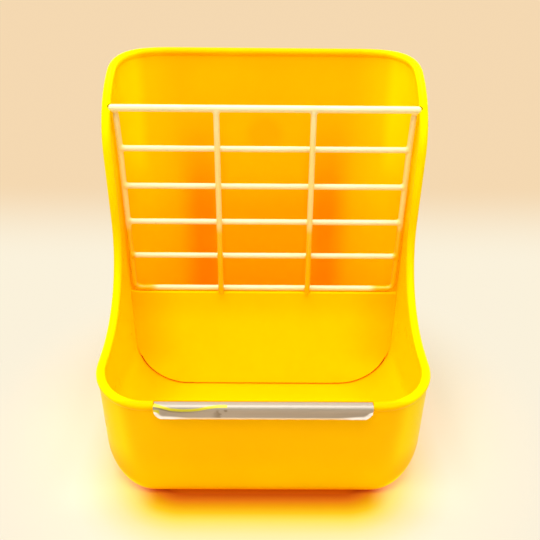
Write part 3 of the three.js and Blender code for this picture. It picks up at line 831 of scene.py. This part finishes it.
def threaded_stud():
    places = np.arange(BOSS_FACE - STUD_EMBED, STUD_END, THREAD_STEP)
    places = list(places[:-1]) + [STUD_END]
    pitch = THREAD_LEAD / THREAD_STARTS
    points = []
    for k in range(STUD_SIDES):
        a = 2 * pi * k / STUD_SIDES
        for y in places:
            phase = ((y + THREAD_LEAD * a / (2 * pi)) / pitch) % 1.0
            groove = THREAD_DEPTH * (1 - abs(2 * phase - 1)) * smooth((y - BOSS_FACE) / 1.5)
            tip = max(0.0, y - (STUD_END - STUD_CHAMFER))
            radius = min(STUD / 2 - groove, STUD / 2 - tip)
            points.append((radius * cos(a), y, CLAMP_HEIGHT + radius * sin(a)))
    return new_object("stud_threaded", points, grid_faces(STUD_SIDES, len(places), caps=True))


def nut_wing(name, side):
    """One rounded wing, its root inside the hub's wall."""
    inner = BORE + 0.7
    far = WING_SPAN / 2
    shoulder = WING_HEIGHT - WING_ROOT
    foot = (HUB / 2, WING_LIFT)
    tip = (far - WING_ROOT, WING_HEIGHT)
    neck = (HUB / 2 - 0.4, WING_ROOT)
    corners = [foot, (far, 0.0), (far, shoulder), (far, WING_HEIGHT), tip]
    corners += [(HUB / 2 + 0.8, WING_HEIGHT), neck]
    outline = [(inner, WING_LIFT), foot]
    for i in (0, 2, 4):
        outline += quadratic(*corners[i : i + 3], CURVE_STEPS)[1:]
    outline.append((inner, WING_ROOT))
    heights = [CLAMP_HEIGHT - WING_THICKNESS / 2, CLAMP_HEIGHT + WING_THICKNESS / 2]
    points = [(side * x, NUT_FACE + y, height) for x, y in outline for height in heights]
    faces = grid_faces(len(outline), 2, caps=True)
    faces[-1].reverse()
    obj = new_object(name, points, faces)
    soft = adjusted(obj.modifiers.new("soft", "BEVEL"), width=WING_EDGE * MM, segments=4)
    adjusted(soft, limit_method="ANGLE", angle_limit=radians(50))
    apply_modifiers(obj)
    tidy_faces(obj, 50)
    return obj


# Materials: all places are in millimetres, y from the frame's middle, and noise scales per metre


class Field:
    """A number or colour over a surface; plain arithmetic on it adds nodes to its tree."""

    def __init__(self, tree, socket):
        self.tree = tree
        self.socket = socket

    def maths(self, operation, *others):
        inputs = dict(enumerate((self, *others)))
        return self.tree.node("Math", "Value", inputs, operation=operation)

    __add__ = partialmethod(maths, "ADD")
    __sub__ = partialmethod(maths, "SUBTRACT")
    __mul__ = partialmethod(maths, "MULTIPLY")
    __truediv__ = partialmethod(maths, "DIVIDE")
    __abs__ = partialmethod(maths, "ABSOLUTE")
    most = partialmethod(maths, "MAXIMUM")

    def __rsub__(self, other):
        return self.tree.node("Math", "Value", {0: other, 1: self}, operation="SUBTRACT")

    def eased(self, none, full, amount=1.0):
        """0 at one place to the amount at another, by a smooth step in either direction."""
        inputs = {"Value": self, "From Min": none, "From Max": full, "To Max": amount}
        return self.tree.node("MapRange", "Result", inputs, interpolation_type="SMOOTHSTEP")

    def within(self, rise, fall):
        return self.eased(*rise) * self.eased(*fall)

    def spread(self, low, high):
        """A share of 0 to 1 as a number from low to high."""
        inputs = {"Value": self, "To Min": low, "To Max": high}
        return self.tree.node("MapRange", "Result", inputs)

    def ramp(self, *stops):
        """The colours of the stops, given as (share, colour), along this share."""
        node = self.tree.nodes.new("ShaderNodeValToRGB")
        elements = node.color_ramp.elements
        for element, (share, colour) in zip(elements, (stops[0], stops[-1])):
            element.position, element.color = share, (*colour, 1.0)
        for share, colour in stops[1:-1]:
            elements.new(share).color = (*colour, 1.0)
        self.tree.fill(node, {"Fac": self})
        return Field(self.tree, node.outputs["Color"])

    def mixed(self, first, second):
        """The first colour, turned into the second as this share grows."""
        return self.tree.mix(self, first, second)


def hypotenuse(a, b):
    return (a * a + b * b).maths("SQRT")


def grey(value):
    return (value, value, value)


class Tree:
    """Writes the node tree of a material or of the world."""

    def __init__(self, tree):
        self.nodes = tree.nodes
        self.links = tree.links

    def fill(self, node, inputs):
        """Links fields to a node's inputs, and sets plain numbers, vectors and colours on them."""
        for key, value in inputs.items():
            socket = node.inputs[key]
            if isinstance(value, Field):
                self.links.new(value.socket, socket)
            elif socket.type == "RGBA":
                socket.default_value = (*value, 1.0)
            else:
                socket.default_value = value

    def node(self, kind, output, inputs, **settings):
        """An output of a new node, as a field."""
        node = adjusted(self.nodes.new("ShaderNode" + kind), **settings)
        self.fill(node, inputs)
        return Field(self, node.outputs[output])

    def mix(self, share, first, second, blend="MIX"):
        node = adjusted(self.nodes.new("ShaderNodeMix"), data_type="RGBA", blend_type=blend)
        colours = [i for i, socket in enumerate(node.inputs) if socket.type == "RGBA"]
        self.fill(node, {"Factor": share, colours[0]: first, colours[1]: second})
        return Field(self, next(o for o in node.outputs if o.type == "RGBA"))

    def split(self, vector):
        """A vector's x, y and z, as fields."""
        node = self.nodes.new("ShaderNodeSeparateXYZ")
        self.fill(node, {"Vector": vector})
        return [Field(self, output) for output in node.outputs]

    def sight(self):
        """1 for rays that show a place to the camera, also by reflection, and 0 for light."""
        path = self.nodes.new("ShaderNodeLightPath")
        names = ("Is Camera Ray", "Is Glossy Ray", "Is Transmission Ray")
        camera, glossy, through = (Field(self, path.outputs[name]) for name in names)
        return camera.most(glossy).most(through)

    def end(self, output, share, plain, shown):
        """Ends the tree in a plain shader that the shown one covers where the share is 1."""
        blend = self.node("MixShader", "Shader", {"Fac": share, 1: plain, 2: shown})
        self.fill(self.nodes[output], {"Surface": blend})


class Paint(Tree):
    """A new material and the fields that its patterns start from."""

    def __init__(self, name):
        self.material = bpy.data.materials.new(name)
        self.material.use_nodes = True
        super().__init__(self.material.node_tree)
        self.shader = self.nodes["Principled BSDF"]
        self.metres = self.node("TexCoord", "Object", {})
        scaled = {0: self.metres, "Scale": 1 / MM}
        self.place = self.node("VectorMath", "Vector", scaled, operation="SCALE")
        self.x, self.y, self.z = self.split(self.place)

    def noise(self, scale, detail=4.0, stretch=(1.0, 1.0, 1.0)):
        place = self.node("Mapping", "Vector", {"Vector": self.metres, "Scale": stretch})
        return self.node("TexNoise", "Fac", {"Vector": place, "Scale": scale, "Detail": detail})

    def kept(self, name):
        """The values that keep_values put on the mesh, and 0 on other meshes."""
        return self.node("Attribute", "Fac", {}, attribute_name=name)

    def bump(self, height, strength, distance):
        inputs = {"Height": height, "Strength": strength, "Distance": distance}
        return self.node("Bump", "Normal", inputs)

    def shaded(self, inputs):
        """The material, once its shader has these inputs."""
        self.fill(self.shader, inputs)
        return self.material


# A span is (none, full) or (none, full, amount): where a tint starts and where it is whole.
# Yellow plastic: the green that each place adds or takes. Besides the mottle, these are painted
# light and shade:
# sides lighter on the shell and darker on the panel, a lighter lower inside, outer foot, cheeks,
# panel top edge and socket insides, and darker upward faces, panel upper part, back-wall bands and
# a patch round the clamp boss
INSIDE_Y = (-76.5, -72.5)
OUTER_X = (61, 82)
INNER_X = (46, 76)
CORNER_Z = (30, 10, 1.6)
DEEP_Z = (110, 55)
CROWN_Z = (45, 64)
CREST_Z = (-0.7, -0.2)
FOOT_Z = (30, 6, 0.09)
HIGH_Z, HIGH_SHADE = (120, 150), 0.03
CHEEK_X = (66, 73, 0.15)
LEVEL_SLOPE = (0.6, 0.95, 0.06)
BACK_WALL_Y = (46, 53), (59.2, 58.2)
BAND_X, BAND_WIDTH, BAND_Z = 37, (19, 2), (178, 100, 0.235)
MIDDLE_X, MIDDLE_Z = (60, 30), (140, 100, 0.07)
PATCH_RADIUS = (14, 6, 0.06)
SOCKET_RADIUS, SOCKET_X = (2.4, 2.2, 0.35), (0.3, 0)
MOTTLE_SCALE, MOTTLE = 22, 0.08
# painted shade in the groove round the panel's foot
GROOVE_SHADE, GROOVE_SHARE = (0.38, 0.09, 0.0), 0.9

# Yellow plastic: a painted glow in the emission, faint all over and stronger on faces that look
# down near the floor and under the sides
DOWN_SLOPE = (0, -0.25)
NEAR_FLOOR_Z = (6, 1)
UNDER_SIDE_X, UNDER_SIDE_Z = (56, 70), (22, 4)
PAINTED_GLOW_ALL = (0.08, 0.008, 0.0)
PAINTED_GLOW_NEAR_FLOOR = (0.42, 0.06, 0.0)
PAINTED_GLOW_UNDER_SIDE = (0.5, 0.32, 0.0)
PLASTIC_GLOSS = (1.0, 0.72, 0.12)


def beyond(place, span):
    """A span counted from a place."""
    return place + span[0], place + span[1], *span[2:]


def yellow_plastic(name, middle, side, low, crown, crest):
    """Glossy moulded plastic, with painted light and shade in its green. The numbers are its green
    in the middle, and the painted light and shade that the sides, the lower inside, the panel's
    upper part and the panel's top edge add to it."""
    paint = Paint(name)
    across, y, z = abs(paint.x), paint.y, paint.z
    slope = paint.split(paint.node("NewGeometry", "Normal", {}))[2]
    inside = y.eased(*INSIDE_Y)
    outside = 1.0 - inside
    inner = across.eased(*INNER_X) * inside * (1.0 - z.eased(*CORNER_Z))
    band = abs(across - BAND_X).eased(*BAND_WIDTH) * z.eased(*BAND_Z)
    band = band.most(across.eased(*MIDDLE_X) * z.eased(*MIDDLE_Z))
    patch = hypotenuse(across, z - CLAMP_HEIGHT).eased(*PATCH_RADIUS)
    socket = hypotenuse(z - AXLE_HEIGHT, y - (AXLE_Y + SHIFT)).eased(*SOCKET_RADIUS)
    green = (paint.noise(MOTTLE_SCALE, 3.0) - 0.5) * MOTTLE + middle
    # painted light and shade added to the green: sides, lower inside, outer foot, high inside and
    # cheeks, panel crown and top edge, and socket insides lifted out of their shade
    for tint in (
        (across.eased(*OUTER_X) * outside + inner) * side,
        z.eased(*DEEP_Z, low) * inside,
        z.eased(*FOOT_Z) * outside,
        (across.eased(*CHEEK_X) - HIGH_SHADE) * (z.eased(*HIGH_Z) * inside),
        z.eased(*CROWN_Z, crown),
        z.eased(*beyond(PANEL_TOP, CREST_Z), crest),
        socket * across.eased(*beyond(SOCKET_END, SOCKET_X)),
    ):
        green = green + tint
    # painted shade: darker on upward faces, and in two bands, the middle and a patch round the
    # clamp boss on the back wall
    green = green - slope.eased(*LEVEL_SLOPE) - (band + patch) * y.within(*BACK_WALL_Y)
    colour = paint.node("CombineColor", "Color", {"Red": 1.0, "Green": green, "Blue": 0.0})
    # painted glow in the emission, lifting the shade on faces that look down
    downwards = slope.eased(*DOWN_SLOPE)
    near_floor = z.eased(*NEAR_FLOOR_Z) * downwards
    through = near_floor.mixed(PAINTED_GLOW_ALL, PAINTED_GLOW_NEAR_FLOOR)
    under_side = across.eased(*UNDER_SIDE_X) * (z.eased(*UNDER_SIDE_Z) * downwards)
    return paint.shaded({
        "Base Color": (paint.kept("groove") * GROOVE_SHARE).mixed(colour, GROOVE_SHADE),
        "Roughness": paint.noise(90.0, 6.0).spread(0.24, 0.34),
        "Normal": paint.bump(paint.noise(420.0, 2.0), 0.05, 0.00008),
        "Specular IOR Level": 0.03,
        "Specular Tint": PLASTIC_GLOSS,
        "Emission Color": under_side.mixed(through, PAINTED_GLOW_UNDER_SIDE),
        "Emission Strength": 1.0,
    })


# White coating: its own two whites, then where painted yellow bounce light falls, counted from each
# wire
COATING_LIGHT, COATING_DARK = (0.93, 0.84, 0.48), (0.9, 0.8, 0.4)
COATING_BOUNCE, COATING_BOUNCE_LOWEST = (0.98, 0.68, 0.08), (0.9, 0.54, 0.0)
UPRIGHT_X = (2.4, 1.8)
UPRIGHT_Y = (0.6, -0.2)
FRAME_X = (-3.5, -1.2)
UNDER_AXLE_Z = (-1, -3)
LOW_END_X, LOW_END_Z = (61, 67), (5, 2)
BOUNCE_LEAST, BOUNCE_MORE_Z = 0.22, (180, 145, 0.35)
LOWEST_Z = (0, -6)


def white_coating():
    """Dipped coating, with painted yellow bounce light on the upright wires that the yellow walls
    light from both sides.
    """
    paint = Paint("white_coating")
    across, y, z = abs(paint.x), paint.y, paint.z
    colour = paint.noise(60.0).ramp((0.3, COATING_DARK), (0.7, COATING_LIGHT))
    column = abs(across - COLUMN_PITCH / 2).eased(*UPRIGHT_X)
    column = column * y.eased(*beyond(SHIFT + AXLE_Y + WIRE / 2, UPRIGHT_Y))
    low_half, high_half = frame_half_width(ROWS[-2]), frame_half_width(ROWS[0])
    lean = (high_half - low_half) / (ROWS[0] - ROWS[-2])
    outer = (across - ((z - ROWS[-2]) * lean + low_half)).eased(*FRAME_X)
    standing = column.most(outer) * z.eased(*beyond(AXLE_HEIGHT, UNDER_AXLE_Z))
    low_end = z.eased(*beyond(ROWS[-1], LOW_END_Z)) * across.eased(*LOW_END_X)
    standing = standing.most(low_end)
    painted_bounce = standing * (z.eased(*BOUNCE_MORE_Z) + BOUNCE_LEAST)
    lowest_bounce = standing * z.eased(*beyond(ROWS[2], LOWEST_Z))
    runs = paint.noise(220.0, 3.0)
    return paint.shaded({
        "Base Color": lowest_bounce.mixed(painted_bounce.mixed(colour, COATING_BOUNCE), COATING_BOUNCE_LOWEST),
        "Roughness": runs.spread(0.22, 0.4),
        "Normal": paint.bump(runs, 0.25, 0.0002),
    })


# Chew guard: edge of a film on its left third, as (share of the strip's length, height in mm)
FILM_LINE = [(0.0, 7.15), (0.03, 6.45), (0.08, 5.05), (0.125, 4.66), (0.17, 4.71), (0.21, 5.18)]
FILM_LINE += [(0.25, 6.04), (0.292, 6.61), (0.336, 6.65), (1.0, 7.29)]
FILM_UNIT = 10.0  # a ramp's colours stop at 1, so they hold tenths of the height
FILM_END = (0.339, 0.333)
FILM_EDGE = (0.85, 0.45)
FILM_YELLOW = (0.6, 0.52, 0.01)
TAB_UP, TAB_ACROSS = ((1.4, 2.0), (5.2, 4.6)), (0.034, 0.024)
SHADE_UNDER, SHADE_ACROSS = ((0.1, 0.7), (1.7, 0.9)), (0.3, 0.03, 0.7)
MARK_ACROSS, MARK_UP, MARK_GRAIN = (0.25, 0.315, 0.75), (5.6, 4.4), (0.42, 0.62)
SHADE_COLOUR, MARK_COLOUR = (0.2, 0.14, 0.04), (0.2, 0.14, 0.08)
STEEL_DARK, STEEL_LIGHT = (0.42, 0.34, 0.28), (0.54, 0.45, 0.39)
STEEL_BEND, BEND_UP = (0.39, 0.34, 0.27), (5.0, 5.6)
MATTE_UP, MATTE_SHARE = (5.3, 6.0), 0.85
# Painted highlight on the turned-out lip, whiter towards its ends
LIP_HIGHLIGHT, LIP_END_HIGHLIGHT = (0.78, 0.54, 0.28), (0.9, 0.8, 0.7)
LIP_SHARE, LIP_ENDS = (0.2, 0.6), (-18, -8)
FILM_LEAN = radians(27.0)  # heights count up a plane that leans back, over the bend


def bright_steel():
    """Brushed strip; a film with a yellow edge still covers its left third, and the turned-out lip
    has a painted highlight.
    """
    paint = Paint("bright_steel")
    across = paint.x / (2 * GUARD_HALF) + 0.5
    foot_z = (LIP_CENTRE + GUARD_LOW) * cos(FILM_LEAN)
    foot_y = (SHIFT - RIM_BACK - GUARD_OUTER - GUARD_LIP_TURN) * sin(FILM_LEAN)
    rise = paint.z * cos(FILM_LEAN) + paint.y * sin(FILM_LEAN)
    up = rise - (foot_z + foot_y)
    line = across.ramp(*((share, grey(height / FILM_UNIT)) for share, height in FILM_LINE))
    line = line * FILM_UNIT
    covered = across.eased(*FILM_END)
    grain = paint.noise(260.0, 5.0, (0.05, 1.0, 1.0))
    colour = grain.ramp((0.3, STEEL_DARK), (0.7, STEEL_LIGHT))
    colour = up.eased(*BEND_UP).mixed(colour, STEEL_BEND)
    mark = across.eased(*MARK_ACROSS) * covered * paint.noise(340.0, 3.0).eased(*MARK_GRAIN)
    colour = (mark * up.eased(*MARK_UP)).mixed(colour, MARK_COLOUR)
    shade = (line - up).within(*SHADE_UNDER) * (across.eased(*SHADE_ACROSS) * covered)
    colour = shade.mixed(colour, SHADE_COLOUR)
    edge = abs(up - line).eased(*FILM_EDGE) * covered
    edge = edge.most(up.within(*TAB_UP) * across.eased(*TAB_ACROSS))
    colour = edge.mixed(colour, FILM_YELLOW)
    lip_highlight = paint.kept("lip").eased(*LIP_SHARE)
    ends = abs(paint.x).eased(*beyond(GUARD_HALF, LIP_ENDS))
    colour = lip_highlight.mixed(colour, ends.mixed(LIP_HIGHLIGHT, LIP_END_HIGHLIGHT))
    matte = edge.most(lip_highlight).most(up.eased(*MATTE_UP))
    return paint.shaded({
        "Base Color": colour,
        "Roughness": grain.spread(0.34, 0.5),
        "Metallic": matte * -MATTE_SHARE + 1.0,
        "Normal": paint.bump(grain, 0.15, 0.0001),
    })


def zinc_steel():
    paint = Paint("zinc_steel")
    inputs = {"Vector": paint.metres, "Scale": 700.0}
    spangle = paint.node("TexVoronoi", "Distance", inputs)
    return paint.shaded({
        "Base Color": spangle.ramp((0.1, grey(0.55)), (0.8, grey(0.68))),
        "Roughness": paint.noise(300.0).spread(0.25, 0.45),
        "Metallic": 1.0,
    })


def dress(obj, material, body, slot, *nodes):
    obj.data.materials.clear()
    obj.data.materials.append(material)
    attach(obj, body)
    if nodes:
        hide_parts(*nodes)


plastic = yellow_plastic("yellow_plastic", 0.54, 0.13, 0.08, 0.0, 0.0)
# The panel's copy of the plastic has painted light: lighter in the middle and lower inside, shaded
# at its sides and upper part, lit at its top edge
panel_plastic_painted_light = yellow_plastic("yellow_panel_painted_light", 0.68, -0.13, 0.11, -0.08, 0.14)
coating = white_coating()
steel = bright_steel()
zinc = zinc_steel()

shell = body_shell()
seat_floor = LIP_CENTRE + GUARD_TOP - GUARD_SHEET - CLEARANCE
seat_half = GUARD_HALF + SEAT_GAP
seat_rear = GUARD_REAR + SEAT_GAP - RIM_BACK
seat_low = (-seat_half, LIP_FRONT_FACE - 4, seat_floor)
seat = block("seat", seat_low, (seat_half, seat_rear, LIP_HEIGHT + 4))
socket_radius = AXLE / 2 + CLEARANCE
sockets = []
for side in (-1, 1):
    profile = [(socket_radius, side * (SOCKET_END - 6)), (socket_radius, side * SOCKET_END)]
    sockets.append(revolved("socket", profile, TOOL_SIDES, 0, (0.0, AXLE_Y, AXLE_HEIGHT)))
hole_end = BOSS_FACE - STUD_EMBED - CLEARANCE
hole = [(BORE, hole_end), (BORE, BOSS_FACE + 5)]
cut(shell, seat, *sockets, revolved("hole", hole, TOOL_SIDES, 1, CLAMP_AXIS))
tidy_faces(shell, 35)
dress(shell, plastic, "feeder", "yellow_plastic", "feeder_body")

boss_root = BACK_FACE - WALL * 0.5
foot_radius = BOSS_DIAMETER / 2 + BOSS_FOOT
edge_centre = (BOSS_DIAMETER / 2 - BOSS_EDGE, BOSS_FACE - BOSS_EDGE)
boss_profile = [(BORE, boss_root), (foot_radius, boss_root), (foot_radius, BACK_FACE)]
boss_profile += arc(foot_radius, BACK_FACE + BOSS_FOOT, BOSS_FOOT, -pi / 2, -pi, 6)[1:]
boss_profile += arc(*edge_centre, BOSS_EDGE, 0, pi / 2, 6)
boss_profile += [(BORE + 0.3, BOSS_FACE), (BORE, BOSS_FACE - 0.3), boss_profile[0]]
rear_boss = revolved("body_rear_boss", boss_profile, ROUND_STEPS, 1, CLAMP_AXIS)
dress(rear_boss, plastic, "feeder", "yellow_plastic")

GRILLE_NODES = sorted(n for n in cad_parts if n.startswith("grille_"))
dress(body_panel(), panel_plastic_painted_light, "feeder", "yellow_plastic")
dress(coated_grille(), coating, "grille", "white_coating", *GRILLE_NODES)
dress(steel_guard(), steel, "feeder", "bright_steel", "chew_guard")
dress(threaded_stud(), zinc, "feeder", "zinc_steel", "clamp_stud")

disc_outline = [
    (BORE, DISC_FACE + DISC_RIM),
    (DISC / 2 - DISC_RIM_WIDTH, DISC_FACE + DISC_RIM),
    (DISC / 2 - DISC_RIM_WIDTH, DISC_FACE),
    (DISC / 2, DISC_FACE),
    (DISC / 2, DISC_BACK),
    (WASHER / 2 + 1.6, DISC_BACK),
    (WASHER / 2 + 1.0, DISC_BACK - DISC_RECESS),
    (BORE, DISC_BACK - DISC_RECESS),
]
disc = turned("disc_moulded", disc_outline, 0.6)
dress(disc, plastic, "clamp", "yellow_plastic", "clamp_disc")

washer_outline = [
    (BORE, WASHER_FACE),
    (WASHER / 2, WASHER_FACE),
    (WASHER / 2, WASHER_BACK),
    (BORE, WASHER_BACK),
]
washer = turned("washer_stamped", washer_outline, 0.3)
dress(washer, zinc, "clamp", "zinc_steel", "clamp_washer")

hub_outline = [
    (BORE, NUT_FACE),
    (HUB / 2, NUT_FACE),
    (HUB / 2, NUT_FACE + 1.2),
    (HUB / 2 - STUD_CHAMFER, NUT_END),
    (BORE + 0.5, NUT_END),
    (BORE, NUT_END - 0.5),
]
hub = turned("nut_hub", hub_outline, 0.4)
dress(hub, zinc, "wing_nut", "zinc_steel", "clamp_wing_nut")
for name, side in (("nut_wing_left", -1), ("nut_wing_right", 1)):
    dress(nut_wing(name, side), zinc, "wing_nut", "zinc_steel")

# Floor: a painted glow and contact shadow stand for the yellow that the feeder's front foot and
# rounded sides throw on it, and its emission lifts the shade beside the rounded sides
PEACH_Y = (190, 400), (8000, 3000)
PALE, PALE_BACK = (0.64, 0.57, 0.44), (0.58, 0.42, 0.27)
BACKDROP_BACK = (0.91, 0.69, 0.44)
BACKDROP_FROM = (100, 180)
GLOW_HALF_WIDTH = 40.0
GLOW_FRONT = -60.0
GLOW_REAR = 45.0
GLOW_REACH = 60.0
GLOW_STOPS = [
    (0.12, (1.0, 0.3, 0.0)),
    (0.26, (0.56, 0.075, 0.0)),
    (0.33, (0.86, 0.26, 0.0)),
    (0.4, (0.94, 0.52, 0.0)),
    (0.47, (1.0, 0.74, 0.02)),
    (0.54, (1.0, 0.9, 0.17)),
    (0.68, (1.0, 0.93, 0.55)),
    (0.87, (1.0, 0.97, 0.88)),
    (1.0, (1.0, 1.0, 1.0)),
]
GLOW_LIT = (0.4, 0.1, 0.2)
GLOW_COLOUR, SIDE_GLOW_COLOUR, GLOW_TURN = (1.0, 0.3, 0.0), (0.95, 0.63, 0.52), (0.25, 0.5)
SIDE_GLOW_X = (52, 66), (115, 78)
SIDE_GLOW_Y = (-95, -70), (80, 50, 0.3)


def floor_material():
    """Pale floor that turns peach further back, with a painted yellow glow and contact shadow
    where the feeder throws its yellow on it.
    """
    paint = Paint("pale_floor")
    across, y = abs(paint.x), paint.y
    back = y.within(*PEACH_Y)
    beside = (across - GLOW_HALF_WIDTH).most(0.0)
    reach = hypotenuse(beside, (GLOW_FRONT - y).most(y - GLOW_REAR).most(0.0)) / GLOW_REACH
    under_sides = across.within(*SIDE_GLOW_X) * y.within(*SIDE_GLOW_Y)
    pale = back.mixed(PALE, PALE_BACK)
    paint.shaded({
        "Base Color": paint.mix(1.0, pale, reach.ramp(*GLOW_STOPS), "MULTIPLY"),
        "Roughness": 0.6,
        "Specular IOR Level": 0.1,
        "Emission Color": reach.eased(*GLOW_TURN).mixed(GLOW_COLOUR, SIDE_GLOW_COLOUR),
        "Emission Strength": reach.eased(*GLOW_LIT).most(under_sides),
    })
    shown = {"Color": back.mixed(BACKDROP, BACKDROP_BACK)}
    away = paint.node("VectorMath", "Value", {0: paint.place}, operation="LENGTH")
    share = paint.sight() * away.eased(*BACKDROP_FROM)
    plain = Field(paint, paint.shader.outputs["BSDF"])
    paint.end("Material Output", share, plain, paint.node("Emission", "Emission", shown))
    return paint.material


corners = [(-1, -1), (1, -1), (1, 1), (-1, 1)]
corners = [(x * FLOOR_REACH, y * FLOOR_REACH - SHIFT, 0.0) for x, y in corners]
floor = new_object("floor", corners, [(0, 1, 2, 3)])
floor.data.materials.append(floor_material())

world = bpy.data.worlds.new("soft_room")
scene.world = world
world.use_nodes = True
room = Tree(world.node_tree)
light = room.nodes["Background"]
room.fill(light, {"Color": SOFT_LIGHT, "Strength": SOFT_STRENGTH})
backdrop = room.node("Background", "Background", {"Color": BACKDROP, "Strength": 1.0})
room.end("World Output", room.sight(), Field(room, light.outputs["Background"]), backdrop)


def add_lamp():
    data = bpy.data.lights.new("overhead", "AREA")
    lamp = put("overhead", adjusted(data, shape="SQUARE", size=LAMP_SIZE, energy=LAMP_POWER))
    lamp.location = LAMP_PLACE
    way = Vector(LAMP_TARGET) - Vector(LAMP_PLACE)
    lamp.rotation_euler = way.to_track_quat("-Z", "Y").to_euler()


def add_camera():
    data = bpy.data.cameras.new("camera")
    data.sensor_width = SENSOR
    data.lens = FOCAL_PIXELS / FRAME_PIXELS * SENSOR
    data.clip_start = 0.01
    camera = put("camera", data)
    place_y = SHIFT - CAMERA_DISTANCE * cos(CAMERA_ELEVATION)
    place_z = CAMERA_TARGET_HEIGHT + CAMERA_DISTANCE * sin(CAMERA_ELEVATION)
    place = Matrix.Translation(Vector((0.0, place_y, place_z)) * MM)
    tilt = Matrix.Rotation(pi / 2 - CAMERA_ELEVATION, 4, "X")
    turn = Matrix.Rotation(-CAMERA_TURN, 4, "Y")
    roll = Matrix.Rotation(CAMERA_ROLL, 4, "Z")
    camera.matrix_world = place @ tilt @ turn @ roll
    bpy.context.scene.camera = camera


add_lamp()
add_camera()
scene.view_settings.view_transform = "Standard"
